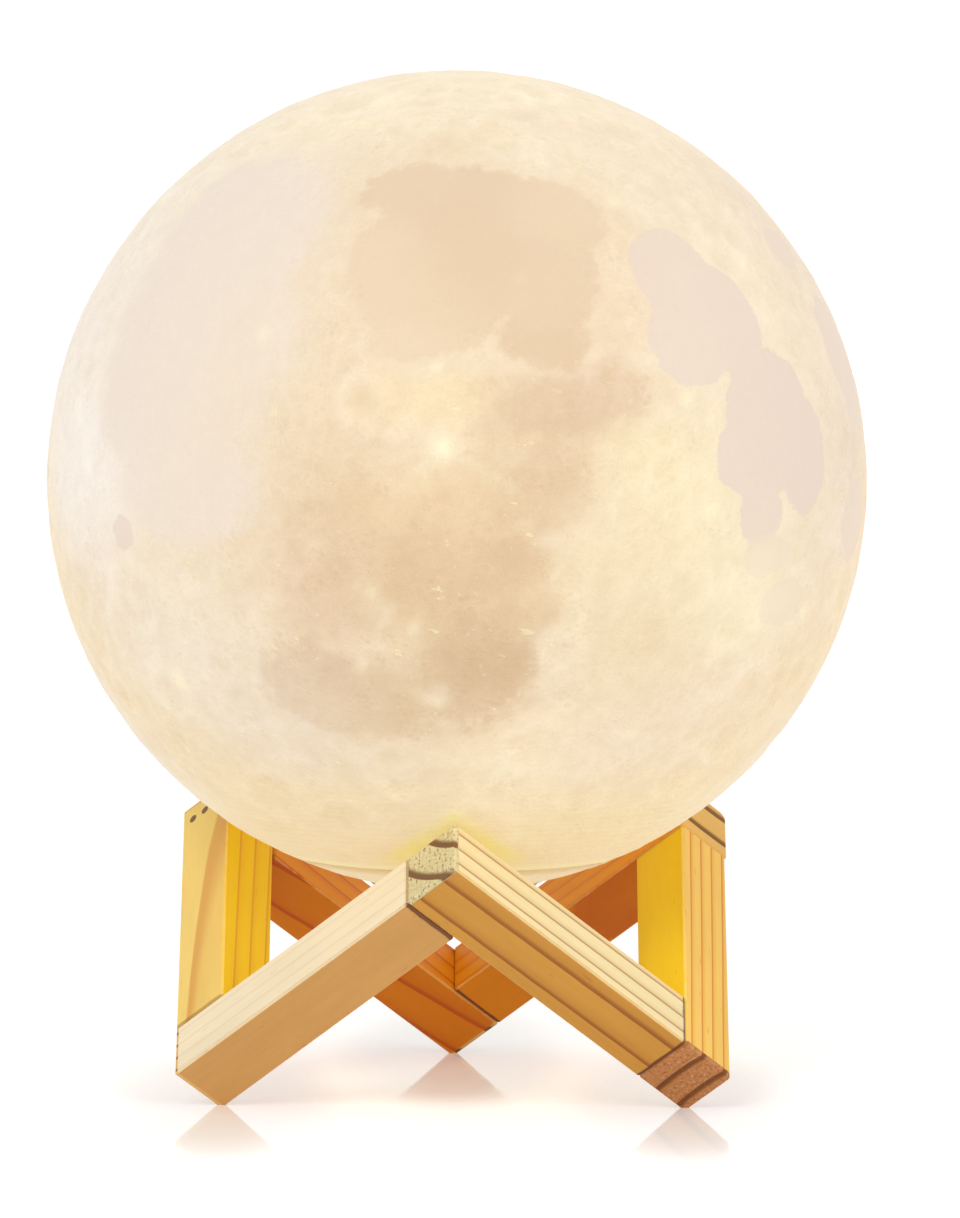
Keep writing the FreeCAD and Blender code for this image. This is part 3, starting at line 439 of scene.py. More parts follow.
def moon_maps(points):
    """Soft colour, sea fields, their levels and relief for directions from the middle."""
    bend = fractal(points, 5.0, 6, 3)
    drift = fractal(points, 9.0, 5, 33)
    warm, warm_level = sea_field(points, WARM_SEAS, bend * 1.3, 3.0)
    rose, rose_level = sea_field(points, ROSE_SEAS, bend * 0.9, 1.3)
    pale, pale_level = sea_field(points, PALE_SEAS, bend * 1.3, 5.0)
    dark, dark_level = sea_field(points, DARK_SEAS, bend * 1.6 + drift, 4.0)
    calm = np.clip(warm + rose + pale * 0.8, 0, 1)
    wash = np.tile(np.array(GROUND, float), (len(points), 1))
    for latitude, turn, wide, tall, soft, strength, tone in WASHES:
        small = min(wide, tall)
        gap = reach_of(points, latitude, turn, wide, tall)
        gap = gap + bend * (2.2 / small + 0.25) + drift * (1.6 / small + 0.1)
        share = (strength * smooth(1 + soft, max(0.05, 1 - soft), gap))[:, None]
        wash += (np.array(tone, float) - wash) * share
    # painted shade: the middle of the face is a little darker than its limb
    wash -= 6 * np.exp(-(away(points, direction(0, 5)) / 42) ** 2)[:, None]
    mottle = fractal(points, 11.0, 5, 21) * 6 + fractal(points, 30.0, 3, 61) * 5
    roll = random.Random(DENT_SEED)
    depth, shade = dents(points, calm, roll)
    # painted highlight on the crater rims and painted shade in their bowls, over random mottle,
    # mostly on the land
    wash += ((mottle + shade * 3.2) * (1 - 0.85 * calm))[:, None] * np.array([0.75, 1.0, 1.3])
    for latitude, turn, radius, strength, rays in SPOTS:
        middle = direction(latitude, turn)
        east, north = compass(middle)
        gap = away(points, middle)
        angle = np.arctan2(points @ north, points @ east)
        spokes = 0.5 + 0.5 * lattice(np.stack([np.cos(angle) * 4, np.sin(angle) * 4,
                                               np.full(len(points), float(turn))], 1), 77)
        bright = np.maximum(strength * np.exp(-(gap / radius) ** 2),
                            strength * 0.45 * spokes ** 2 * np.exp(-(gap / rays) ** 1.1))
        wash += (np.array(SPOT_TONE, float) - wash) * bright[:, None]
    depth += SEA_DEPTH * np.maximum(warm, rose) + 0.5 * SEA_DEPTH * pale
    depth += SKIN_DEPTH * fractal(points, 14.0, 6, 51) * (1 - 0.75 * calm)
    seas = np.stack([warm, rose, pale, dark], 1)
    levels = np.stack([warm_level, rose_level, pale_level, dark_level], 1)
    return np.clip(wash, 0, 255), seas, levels, depth


def linear_tones(tones):
    """Screen colours of 0 to 255 as linear ones."""
    part = tones / 255
    return np.where(part <= 0.04045, part / 12.92, ((part + 0.055) / 1.055) ** 2.4)


# ---------------------------------------------------------------- making pieces

def finish_mesh(name, model, body, slot, *materials):
    """Turns a bmesh into a piece at the origin, on its body, with its materials; the slot is
    not used.
    """
    bmesh.ops.recalc_face_normals(model, faces=model.faces[:])
    mesh = bpy.data.meshes.new(name)
    model.to_mesh(mesh)
    model.free()
    for material in materials:
        mesh.materials.append(material)
    piece = bpy.data.objects.new(name, mesh)
    bpy.context.scene.collection.objects.link(piece)
    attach(piece, body)
    return piece


def spun(profile, steps):
    """A bmesh lathed from (radius, height) points about the vertical through 0, 0."""
    model = bmesh.new()
    verts = [model.verts.new((r, 0.0, z)) for r, z in profile]
    edges = [model.edges.new(pair) for pair in zip(verts, verts[1:])]
    bmesh.ops.spin(model, geom=verts + edges, cent=(0, 0, 0), axis=(0, 0, 1),
                   angle=math.tau, steps=steps, use_merge=True)
    bmesh.ops.remove_doubles(model, verts=model.verts[:], dist=1e-6)
    return model


def arc(radius, start, end, count):
    """(radius, height) points of an arc about the globe's middle, angles from straight down."""
    for number in range(count + 1):
        angle = start + (end - start) * number / count
        yield radius * math.sin(angle), GLOBE_Z - radius * math.cos(angle)


def shape_moon(piece):
    """Presses the relief into a globe piece and stores the moon's pattern on it, with the
    painted light near the stand's peaks.
    """
    mesh = piece.data
    count = len(mesh.vertices)
    places = np.empty(count * 3)
    mesh.vertices.foreach_get("co", places)
    places = places.reshape(-1, 3)
    middle = np.array([0, 0, GLOBE_Z])
    reach = np.linalg.norm(places - middle, axis=1)
    points = (places - middle) / reach[:, None]
    wash, seas, levels, depth = moon_maps(points)
    skin = smooth(GLOBE_RADIUS - 0.6 * MM, GLOBE_RADIUS - 0.05 * MM, reach)
    depth = np.clip(depth + PRESS_DEPTH, 0, DEEPEST) * skin * MM
    places = middle + points * (reach - depth)[:, None]
    mesh.vertices.foreach_set("co", places.ravel())
    tones = np.concatenate([linear_tones(wash), painted_peak_glow(places)[:, None]], 1)
    for name, data in (("wash", tones), ("seas", seas), ("levels", levels)):
        layer = mesh.attributes.new(name, "FLOAT_COLOR", "POINT")
        layer.data.foreach_set("color", data.astype(np.float32).ravel())
    mesh.shade_smooth()
    mesh.update()


# ---------------------------------------------------------------- the stand's bars

CUBE_TILT = math.asin(1 / math.sqrt(3))
EDGE_HEADINGS = {"left_edge": -150, "right_edge": -30, "back_edge": 90}
BAR_LENGTH = 59.4 * MM
BAR_WIDTH = 12 * MM
FOOT_CUT = 0.8 * MM         # taken off each foot's corner, so that it stands flat
STAND_DROP = -(BAR_LENGTH * math.sqrt(1 / 3) + FOOT_CUT)

# Lit and shaded tones of one pine, painted on the bars' faces: the creams and golds where light
# falls, the strong yellow where the lamp's light falls on inner faces, and the deep orange on
# faces in shade. TAN is the end grain.
CREAM = (250, 234, 200)
YELLOW_CREAM = (245, 226, 174)
GOLD = (246, 204, 104)
DEEP_GOLD = (247, 213, 118)
PAINTED_LAMPLIGHT = (255, 214, 10)
PAINTED_SHADE_ORANGE = (226, 138, 8)
TAN = (230, 184, 110)


class Bar(NamedTuple):
    """One bar of the stand and how its wood has grown; lengths in mm."""
    node: str
    run: str                    # the edge it lies along
    nail: str                   # the edge its brads lie along
    third: str
    is_foot: bool               # its through end is a foot, not a peak
    pith: tuple                 # place of the tree's middle across the section
    lean: tuple                 # how far that moves per length of bar
    spacing: float              # of the growth rings
    phase: float
    lines: int                  # lines that a ring shows on the sides
    late: float                 # how dark the late wood is
    wavy: float
    sides: tuple                # screen colours of the -Y, +Y, -Z and +Z faces, painted with the light and shade on each
    end: tuple                  # and of the end grain
    pores: float = 0.4          # how coarse the end grain looks
    flecks: float = 0.35
    glue: float = 0.95          # how dark the glue line is
    golden: bool = True         # the late wood is golden, not brown


BARS = [
    Bar("stand_bar_front_left", "right_edge", "back_edge", "left_edge", True,
        pith=(-44.0, 2.0), lean=(0.01, -0.006), spacing=3.1, phase=0.4, lines=1,
        late=0.15, wavy=0.25, sides=((211, 160, 92), PAINTED_LAMPLIGHT, PAINTED_SHADE_ORANGE, CREAM),
        end=TAN, pores=0.3, golden=False),
    Bar("stand_bar_front_right", "left_edge", "right_edge", "back_edge", False,
        pith=(-12.0, 26.0), lean=(0.006, -0.004), spacing=6.8, phase=3.5, lines=2,
        late=0.85, wavy=0.3, sides=(YELLOW_CREAM, PAINTED_SHADE_ORANGE, (210, 152, 64), PAINTED_LAMPLIGHT),
        end=(226, 214, 164), pores=1.5, golden=False),
    Bar("stand_bar_right", "back_edge", "left_edge", "right_edge", True,
        pith=(-40.0, 6.0), lean=(0.012, -0.004), spacing=5.4, phase=0.3, lines=2,
        late=1.0, wavy=0.2, sides=(PAINTED_SHADE_ORANGE, (255, 218, 0), (245, 200, 98), (245, 200, 98)),
        end=(192, 132, 80), pores=1.3, flecks=1.0, glue=0.3),
    Bar("stand_bar_back_right", "right_edge", "back_edge", "left_edge", False,
        pith=(-60.0, 6.0), lean=(0.02, -0.01), spacing=6.6, phase=3.2, lines=2,
        late=0.6, wavy=0.35, sides=(GOLD, PAINTED_SHADE_ORANGE, PAINTED_SHADE_ORANGE, (240, 160, 14)),
        end=(232, 186, 104), pores=0.2),
    Bar("stand_bar_back_left", "left_edge", "right_edge", "back_edge", True,
        pith=(24.0, -30.0), lean=(0.02, -0.06), spacing=4.2, phase=0.0, lines=1,
        late=1.0, wavy=0.7, sides=(PAINTED_SHADE_ORANGE, (236, 152, 12), (222, 132, 8), GOLD),
        end=TAN, glue=0.3),
    Bar("stand_bar_left", "back_edge", "left_edge", "right_edge", False,
        pith=(46.0, 13.0), lean=(0.0186, 0.0), spacing=3.7, phase=2.0, lines=1,
        late=0.65, wavy=0.18, sides=(DEEP_GOLD, PAINTED_SHADE_ORANGE, PAINTED_SHADE_ORANGE, PAINTED_LAMPLIGHT),
        end=TAN, flecks=0.5, glue=0.5),
]


def edge_direction(name):
    """Unit vector up along one of the cube's three edges."""
    turn = math.radians(EDGE_HEADINGS[name])
    return Vector((math.cos(turn) * math.cos(CUBE_TILT), math.sin(turn) * math.cos(CUBE_TILT),
                   math.sin(CUBE_TILT)))


def bar_frame(bar):
    """Start of a bar's own frame and its turn: X along it, Y the way its brads go."""
    along, across, up = map(edge_direction, (bar.run, bar.nail, bar.third))
    cube = BAR_LENGTH + BAR_WIDTH
    start = Vector((0, 0, STAND_DROP))
    if bar.is_foot:
        start += up * BAR_LENGTH
    else:
        start += (along + across) * cube
        along, across = -along, -across
    return start, Matrix((along, across, up)).transposed()


PEAK_HEADINGS = (-90, 30, 150)
PEAK_Z = STAND_DROP + (2 * (BAR_LENGTH + BAR_WIDTH) + BAR_WIDTH) * math.sin(CUBE_TILT)


def painted_peak_glow(places):
    """Painted light: the globe's light thrown back along the two bars that fall away from each
    peak.
    """
    fall_across, fall_down = math.sqrt(0.6), math.sqrt(0.4)
    painted_glow = np.zeros(len(places))
    for heading in PEAK_HEADINGS:
        turn = math.radians(heading)
        facing = places[:, 0] * math.cos(turn) + places[:, 1] * math.sin(turn)
        across = np.abs(places[:, 1] * math.cos(turn) - places[:, 0] * math.sin(turn))
        rise = places[:, 2] - PEAK_Z
        above = fall_down * across + fall_across * rise
        along = fall_across * across - fall_down * rise
        band = smooth(3.6 * MM, 0.2 * MM, above) * smooth(-20 * MM, -4 * MM, above)
        far = np.clip(along, 0, 1)
        band *= 0.45 * np.exp(-far / (20 * MM)) \
            + 0.6 * np.exp(-((far - 13 * MM) / (8 * MM)) ** 2)
        band *= smooth(26 * MM, 42 * MM, facing)
        painted_glow = np.maximum(painted_glow, band)
    return painted_glow


# ---------------------------------------------------------------- moon material

COARSE_LAYER = 1.05 * MM     # pitch of the layers that show most
FINE_LAYER = 0.3 * MM


def moon_material(name, settings):
    """The print's colours, ground, layers and joint, with painted light and shade, over what
    the mesh stores.
    """
    m = Material(name)
    x, y, z = m.parts(m.place)
    wash = m.attribute("wash")
    warm, rose, pale, dark = m.four("seas")
    warm_level, rose_level, pale_level, dark_level = m.four("levels")
    painted_glow = m.four("wash")[3]
    frill = m.noise(420, 4, 0.6) * 0.85 + m.noise(1500, 2, 0.5) * 0.3
    broken = m.noise(300, 5, 0.65) * 1.9
    tone = m.mix((pale + frill).step(0.10, 0.90) * pale_level * 0.85, wash,
                 colour(*settings.ocean_tone))
    tone = m.mix((warm + frill).step(0.30, 0.66) * warm_level * 0.9, tone,
                 colour(*settings.sea_tone))
    tone = m.mix((rose + frill).step(0.42, 0.60) * rose_level * 0.9, tone,
                 colour(*settings.rose_tone))
    tone = m.mix((dark + broken).step(0.30, 0.85) * dark_level * 0.65, tone,
                 colour(*settings.deep_tone))
    calm = (warm + rose + pale * 0.8).low(1.0)
    land = 1 - calm * 0.75
    # broken ground: painted shade in pits and painted highlights on their pale lips, with
    # random blotches, streaks and grit, more on the land than in the seas
    pits = m.cells(620)
    pit = pits.step(0.42, 0.05)
    lip = pits.step(0.40, 0.55) * pits.step(0.75, 0.58)
    small = m.cells(1700).step(0.40, 0.05)
    patchy = m.noise(150, 3, 0.6).step(-0.08, 0.20)
    coarse = m.noise(520, 5, 0.68)
    grit = m.noise(2300, 3, 0.65)
    streaks = m.noise(700, 3, 0.6, m.turned((0, 0, 0), scale=(1, 1, 0.35)))
    blotch = m.noise(210, 4, 0.62)
    shade = 1 + ((lip * 0.04 - pit * 0.03) * patchy - small * 0.012 + blotch * 0.11
                 + coarse * 0.13 + streaks * 0.05 + grit * 0.04) * land
    # bright flakes on and round the dark ground, larger ones in patches
    specks = m.noise(800, 3, 0.6).step(0.16, 0.25) * (dark + broken * 0.4).step(0.1, 0.5)
    flakes = m.noise(360, 4, 0.62, m.turned((0, 0, 0), (0.5, 0.3, 0.2), (1.5, 1, 0.8))) \
        .step(0.125, 0.165) * m.noise(75, 3, 0.6).step(-0.02, 0.12) * (1 - calm)
    # printed layers, plainer low down where the wall turns under
    low = z.step(GLOBE_Z - 46 * MM, GLOBE_Z - 68 * MM)
    ridge = abs((z / COARSE_LAYER + m.noise(60, 2) * 0.5).fraction() - 0.5) * 2
    thread = abs((z / FINE_LAYER).fraction() - 0.5) * 2
    shade = shade * (1 - ((ridge - 0.5) * 0.05 + (thread - 0.5) * 0.03) * low)
    tone = m.mix(1.0, tone, m.grey(shade), "MULTIPLY")
    tone = m.mix((specks * 0.4).high(flakes * 0.5), tone, colour(255, 240, 190))
    # painted light: warmer and brighter low down, where the lamp inside is nearest
    tone = m.mix(low * 0.55, tone, colour(255, 234, 180))
    # the joint of shell and cap: a painted highlight on the lip over a painted soft shade
    painted_lip_highlight = (z + m.noise(300, 2) * 0.3 * MM - SEAM_Z).step(0.15 * MM, 0.5 * MM) \
        * (z - SEAM_Z).step(1.5 * MM, 0.9 * MM)
    painted_seam_shade = (z - SEAM_Z).step(-1.6 * MM, -0.3 * MM) * (z - SEAM_Z).step(0.3 * MM, 0.1 * MM)
    tone = m.mix(painted_lip_highlight * 0.8, tone, colour(255, 245, 186))
    tone = m.mix(painted_seam_shade * 0.75, tone, colour(232, 200, 142))
    # painted light near the stand's peaks, from the wash's fourth number
    tone = m.mix((painted_glow * (1 + coarse)).low(1.0) * 0.85, tone, colour(255, 243, 124))
    own = settings.own_light
    m.feed("Base Color", m.mix(1.0, tone, (1 - own, 1 - own, 1 - own, 1), "MULTIPLY"))
    m.feed("Emission Color", m.mix(1.0, tone, (own, own, own, 1), "MULTIPLY"))
    m.feed("Emission Strength", 1.0)
    m.feed("Roughness", 0.55 + grit * 0.2)
    m.feed("Specular IOR Level", 0.25)
    height = ((lip * 0.5 - pit) * patchy * 0.8 - small * 0.3 + coarse * 1.2 + grit * 0.3
              + flakes * 0.5) * land \
        + (ridge * 0.6 + thread * 0.4) * low - painted_seam_shade
    m.bump(height, 0.17 * MM, 1.0)
    return m.material


# ---------------------------------------------------------------- wood

def wood_material(bar, settings):
    """Pine with rings, fibres, end grain, paler edges and the glue line of one bar, on faces
    painted with their light and shade.
    """
    start, turn = bar_frame(bar)
    turn = turn.to_euler()
    m = Material(bar.node.replace("stand_bar", "pine"))
    own = m.turned(start, turn)
    x, y, z = m.parts(own)
    # rings round a pith that lies outside the bar and leans a little
    wave = m.noise(26, 2, 0.5, m.turned((0.3, 0.1, 0.2), scale=(3.2, 1, 1), vector=own)) \
        * bar.wavy
    py = y - bar.pith[0] * MM + x * bar.lean[0] + wave * 7 * MM
    pz = z - bar.pith[1] * MM + x * bar.lean[1] + wave * 4 * MM
    reach = (py * py + pz * pz) ** 0.5
    age = (reach + bar.phase * MM) / (bar.spacing * MM) \
        + m.noise(160, 2, 0.5, own) * 0.06 * bar.wavy
    nx, ny, nz = m.parts(m.turned((0, 0, 0), turn,
                                  vector=m.node("ShaderNodeTexCoord").outputs["Normal"]))
    end = abs(nx).step(0.7, 0.9).high(x.step(0.95 * MM, 0.75 * MM))
    ring = (age * (bar.lines - end * (bar.lines - 1))).fraction()
    dark = ring.step(0.40, 0.93) * ring.step(1.0, 0.97)
    line = (ring + end * 0.08).step(0.84 - 0.03 * bar.lines, 0.93) * ring.step(0.99, 0.965)
    # fibres along the bar, as threads on the sides and specks on the ends
    thread = m.noise(2600, 3, 0.6, m.turned((0, 0, 0), scale=(26, 1, 1), vector=own))
    streak = m.noise(900, 3, 0.55, m.turned((0.1, 0, 0), scale=(14, 1, 1), vector=own))
    fleck = m.noise(1500, 2, 0.5, m.turned((0, 0.2, 0), scale=(7, 1, 1), vector=own)) \
        .step(0.17, 0.26)
    cloud = m.noise(120, 3, 0.55, m.turned((0.2, 0, 0.1), scale=(4, 1, 1), vector=own))
    # painted light and shade: each face takes the lit or shaded tone of the way it faces
    under, over, back, front, cut = (colour(*tone) for tone in (*bar.sides, bar.end))
    tone = m.mix(ny.step(-0.5, 0.5), under, over)
    tone = m.mix(nz.step(-0.5, -0.86), tone, back)
    tone = m.mix(nz.step(0.5, 0.86), tone, front)
    tone = m.mix(end, tone, cut)
    plain = tone
    late_tone = colour(*(settings.gold_ring_tone if bar.golden else settings.ring_tone))
    ink = m.mix(1.0, tone, late_tone, "MULTIPLY")
    deep = m.mix(1.0, ink, late_tone, "MULTIPLY")
    tone = m.mix(1.0, tone, m.grey(1 + cloud * 0.24 + streak * 0.10), "MULTIPLY")
    tone = m.mix(dark * bar.late * (0.46 if bar.golden else 0.34) * (1 - end * 0.4), tone, ink)
    tone = m.mix((line * bar.late).high(line * end) * (0.8 + end * 0.1), tone,
                 m.mix(end, deep, colour(100, 56, 24)))
    tone = m.mix((thread * 1.3 + 0.30).high(0.0).low(1.0) * 0.14, tone, ink)
    tone = m.mix(fleck * bar.flecks * (1 - end), tone, ink)
    # pores and saw marks of the end grain
    grain = m.noise(1500, 4, 0.75, own)
    tone = m.mix((grain.step(0.02, 0.13) * end * 0.6 * bar.pores).low(0.8), tone, deep)
    tone = m.mix((grain.step(-0.05, -0.17) * end * 0.4 * bar.pores).low(0.8) * (1 - line), tone,
                 m.mix(0.6, plain, colour(255, 246, 214)))
    # paler edges: where the nearest two faces of the bar are both close
    dx = (BAR_LENGTH / 2 - abs(x - BAR_LENGTH / 2)).high(0.0)
    dy = (BAR_WIDTH / 2 - abs(y - BAR_WIDTH / 2)).high(0.0)
    dz = (BAR_WIDTH / 2 - abs(z - BAR_WIDTH / 2)).high(0.0)
    second = dx.low(dy).high(dx.high(dy).low(dz))
    rub = m.noise(420, 3, 0.6) * 0.5 * MM
    pale_edge = (second + rub).step(0.42 * MM, 0.20 * MM) * (1 - dx.step(0.6 * MM, 0.3 * MM))
    tone = m.mix(pale_edge * 0.4, tone, m.mix(0.6, plain, colour(255, 236, 180)))
    # the glue line where the bar meets its neighbour, wiped clean on top
    seam = (x + rub).step(BAR_LENGTH - 0.95 * MM, BAR_LENGTH - 0.55 * MM) \
        * (1 - nz.step(0.5, 0.86) * 0.9) * bar.glue
    tone = m.mix(seam * 0.9, tone, colour(*settings.glue_tone))
    m.feed("Base Color", tone)
    m.feed("Roughness", 0.52 + streak * 0.22 - line * 0.08 + end * 0.2)
    m.feed("Specular IOR Level", 0.3)
    height = thread * 0.5 + streak * 0.35 - line * 0.35 * bar.late - fleck * 0.5 \
        + grain * end * 0.8 * bar.pores - seam * 1.5
    m.bump(height, 0.12 * MM, 0.7)
    return m.material


# ---------------------------------------------------------------- finishes of the inside

def plain_material(name, tone, roughness, *, metal=0.0, speck=0.03, grain=900, relief=0.02,
                   coat=0.0, brushed=False, light=0.0, clear=0.0):
    """A moulded, plated or lacquered finish: cloudy tone, fine grain and light rubbing."""
    m = Material(name)
    vector = m.turned((0, 0, 0), scale=(1, 1, 14)) if brushed else m.place
    cloud = m.noise(90, 3, 0.5)
    fine = m.noise(grain, 3, 0.6, vector)
    scratch = m.noise(420, 2, 0.5, m.turned((0.02, 0.01, 0), (0.4, 0.2, 0.7), (9, 1, 1))) \
        .step(0.20, 0.26)
    dark = scaled(tone, 0.72)
    base = m.mix((cloud * 1.4 + 0.35).high(0.0).low(1.0) * 0.22, tone, dark)
    base = m.mix((fine + 0.5) * speck * 4, base, dark)
    m.feed("Base Color", base)
    m.feed("Metallic", metal)
    m.feed("Roughness", (roughness + fine * 0.18 + cloud * 0.12 + scratch * 0.12).high(0.04))
    m.feed("Coat Weight", coat)
    if light:
        m.feed("Emission Color", base)
        m.feed("Emission Strength", light)
    if clear:
        m.feed("Transmission Weight", clear)
    m.bump(fine + scratch * -0.6, relief * MM * 5, 0.6)
    return m.material


FINISHES = {                              # slot: how its material is made
    "steel_brad": dict(tone=(126, 82, 44), roughness=0.42, metal=0.75, speck=0.06, grain=2500),
    "white_plastic": dict(tone=(232, 228, 218), roughness=0.42, relief=0.03),
    "button_plastic": dict(tone=(228, 228, 226), roughness=0.22, coat=0.2),
    "bright_metal": dict(tone=(214, 214, 216), roughness=0.16, metal=1.0, brushed=True),
    "white_board": dict(tone=(234, 234, 228), roughness=0.3, relief=0.01),
    "emitter": dict(tone=(250, 222, 110), roughness=0.35, light=0.6),
    "screw_steel": dict(tone=(180, 180, 184), roughness=0.3, metal=1.0, brushed=True),
    "green_board": dict(tone=(24, 92, 52), roughness=0.32, coat=0.4, grain=1600),
    "black_plastic": dict(tone=(30, 30, 32), roughness=0.45),
    "clear_plastic": dict(tone=(236, 240, 242), roughness=0.12, clear=0.8),
    "battery_foil": dict(tone=(186, 190, 196), roughness=0.34, metal=0.8, grain=1300,
                         relief=0.05),
    "foam": dict(tone=(64, 64, 66), roughness=0.9, grain=3200, relief=0.12),
    "red_lead": dict(tone=(178, 28, 24), roughness=0.4),
    "black_lead": dict(tone=(26, 26, 28), roughness=0.4),
    "white_lead": dict(tone=(226, 224, 216), roughness=0.4),
}


# ---------------------------------------------------------------- properties

class MoonLampGlobe(bpy.types.PropertyGroup):
    steps: bpy.props.IntProperty(
        name="Steps", description="Divisions round the globe", default=400, min=64)
    rings: bpy.props.IntProperty(
        name="Rings", description="Divisions from the cap to the top", default=214, min=32)
    wall: bpy.props.FloatProperty(
        name="Wall", description="Thickness of the printed wall", default=1.6 * MM,
        unit="LENGTH", precision=5)
    opening: bpy.props.FloatProperty(
        name="Opening", description="Radius of the opening at the bottom",
        default=OPENING, unit="LENGTH", precision=5)
    cap_radius: bpy.props.FloatProperty(
        name="Cap", description="Radius of the cap in the opening",
        default=30.0 * MM, unit="LENGTH", precision=5)
    own_light: bpy.props.FloatProperty(
        name="Own light", description="Share of its colour that comes from inside",
        default=0.52, min=0.0, max=1.0, subtype="FACTOR")
    ocean_tone: bpy.props.FloatVectorProperty(
        name="Ocean", description="Screen colour of the pale sea on the left, 0 to 255",
        default=(240, 225, 210), min=0, max=255)
    sea_tone: bpy.props.FloatVectorProperty(
        name="Upper sea", description="Screen colour of the sea at the top, 0 to 255",
        default=(227, 201, 169), min=0, max=255)
    rose_tone: bpy.props.FloatVectorProperty(
        name="Right seas", description="Screen colour of the seas on the right, 0 to 255",
        default=(233, 214, 199), min=0, max=255)
    deep_tone: bpy.props.FloatVectorProperty(
        name="Lower seas", description="Screen colour of the darkest ground, 0 to 255",
        default=(219, 189, 153), min=0, max=255)


class MoonLampStand(bpy.types.PropertyGroup):
    ring_tone: bpy.props.FloatVectorProperty(
        name="Late wood", description="What the dark half of a ring makes of white, 0 to 255",
        default=(205, 168, 122), min=0, max=255)
    gold_ring_tone: bpy.props.FloatVectorProperty(
        name="Golden late wood", description="The same on the golden bars, 0 to 255",
        default=(235, 198, 100), min=0, max=255)
    glue_tone: bpy.props.FloatVectorProperty(
        name="Glue line", description="Screen colour of the joints, 0 to 255",
        default=(88, 34, 18), min=0, max=255)


class MoonLampStage(bpy.types.PropertyGroup):
    lens: bpy.props.FloatProperty(
        name="Lens", description="Focal length of the camera, mm", default=313.6)
    place: bpy.props.FloatVectorProperty(
        name="Camera", description="Where the camera stands",
        default=(-0.0019, -1.9318, 0.2645), subtype="TRANSLATION", precision=4)
    aim: bpy.props.FloatVectorProperty(
        name="Aim", description="How the camera is turned",
        default=(1.47984, -0.00639, -0.00266), subtype="EULER", precision=5)
    floor_size: bpy.props.FloatProperty(
        name="Floor", description="Side of the floor", default=16.0, unit="LENGTH")


# ---------------------------------------------------------------- operators

class MOONLAMP_OT_globe(bpy.types.Operator):
    """Builds the printed globe with its relief and pattern"""
    bl_idname = "moonlamp.globe"
    bl_label = "Globe"

    def execute(self, context):
        s = context.scene.moon_lamp_globe
        start = math.asin(s.opening / GLOBE_RADIUS)
        inner = GLOBE_RADIUS - s.wall
        inner_start = math.asin(s.opening / inner)
        profile = list(arc(GLOBE_RADIUS, start, math.pi, s.rings))
        profile += list(arc(inner, math.pi, inner_start, 14))
        profile.append(profile[0])
        piece = finish_mesh("moon_globe", spun(profile, s.steps), "globe", "printed_globe",
                            moon_material("moon print", s))
        shape_moon(piece)
        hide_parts("moon_shell")
        return {"FINISHED"}


class MOONLAMP_OT_cap(bpy.types.Operator):
    """Builds the printed cap that closes the globe's bottom, with its collar and boss"""
    bl_idname = "moonlamp.cap"
    bl_label = "Cap"

    def execute(self, context):
        s = context.scene.moon_lamp_globe
        inner = GLOBE_RADIUS - s.wall
        rim = COLLAR_TOP - COLLAR_HEIGHT
        boss = BASE_Z + BOSS_HEIGHT
        seat = BASE_Z + SEAT_HEIGHT
        profile = list(arc(GLOBE_RADIUS, math.asin(SEAT_RADIUS / GLOBE_RADIUS),
                           math.asin(s.cap_radius / GLOBE_RADIUS), 24))
        profile += [(s.cap_radius, rim), (COLLAR_RADIUS, rim), (COLLAR_RADIUS, COLLAR_TOP),
                    (COLLAR_BORE, COLLAR_TOP)]
        profile += list(arc(inner, math.asin(COLLAR_BORE / inner),
                            math.asin(BOSS_RADIUS / inner), 4))
        profile += [(BOSS_RADIUS, boss), (CAP_BORE, boss), (CAP_BORE, seat),
                    (SEAT_RADIUS, seat), profile[0]]
        piece = finish_mesh("moon_cap", spun(profile, CAP_STEPS), "globe", "printed_globe",
                            bpy.data.materials["moon print"])
        shape_moon(piece)
        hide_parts("bottom_cap")
        return {"FINISHED"}


class MOONLAMP_OT_stand(bpy.types.Operator):
    """Gives each bar of the stand its own piece of pine"""
    bl_idname = "moonlamp.stand"
    bl_label = "Stand"

    def execute(self, context):
        s = context.scene.moon_lamp_stand
        for bar in BARS:
            material = wood_material(bar, s)
            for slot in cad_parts[bar.node].material_slots:
                slot.material = material
        return {"FINISHED"}


class MOONLAMP_OT_inside(bpy.types.Operator):
    """Finishes the base, the electronics and the brads"""
    bl_idname = "moonlamp.inside"
    bl_label = "Inside and brads"

    def execute(self, context):
        made = {}
        for name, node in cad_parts.items():
            for slot in node.material_slots:
                finish = slot.material.name.split(".")[0]
                if finish not in FINISHES:
                    continue
                if finish not in made:
                    words = dict(FINISHES[finish])
                    words["tone"] = colour(*words["tone"])
                    made[finish] = plain_material(finish + " finish", **words)
                slot.material = made[finish]
        return {"FINISHED"}


FEET = ((-42.0 * MM, -24.25 * MM), (42.0 * MM, -24.25 * MM), (0.0, 48.5 * MM))
MIRROR_WIDE, MIRROR_DEEP = 24 * MM, 88 * MM       # half sizes of the glossy patch round a foot
# a studio lamp: name, place, size, watts, linear colour
LAMPS = (("key", (-0.55, -1.1, 0.85), 0.7, 7.0, (1.0, 0.98, 0.95)),
         ("fill", (0.9, -0.8, 0.45), 0.8, 4.5, (1.0, 0.98, 0.96)))


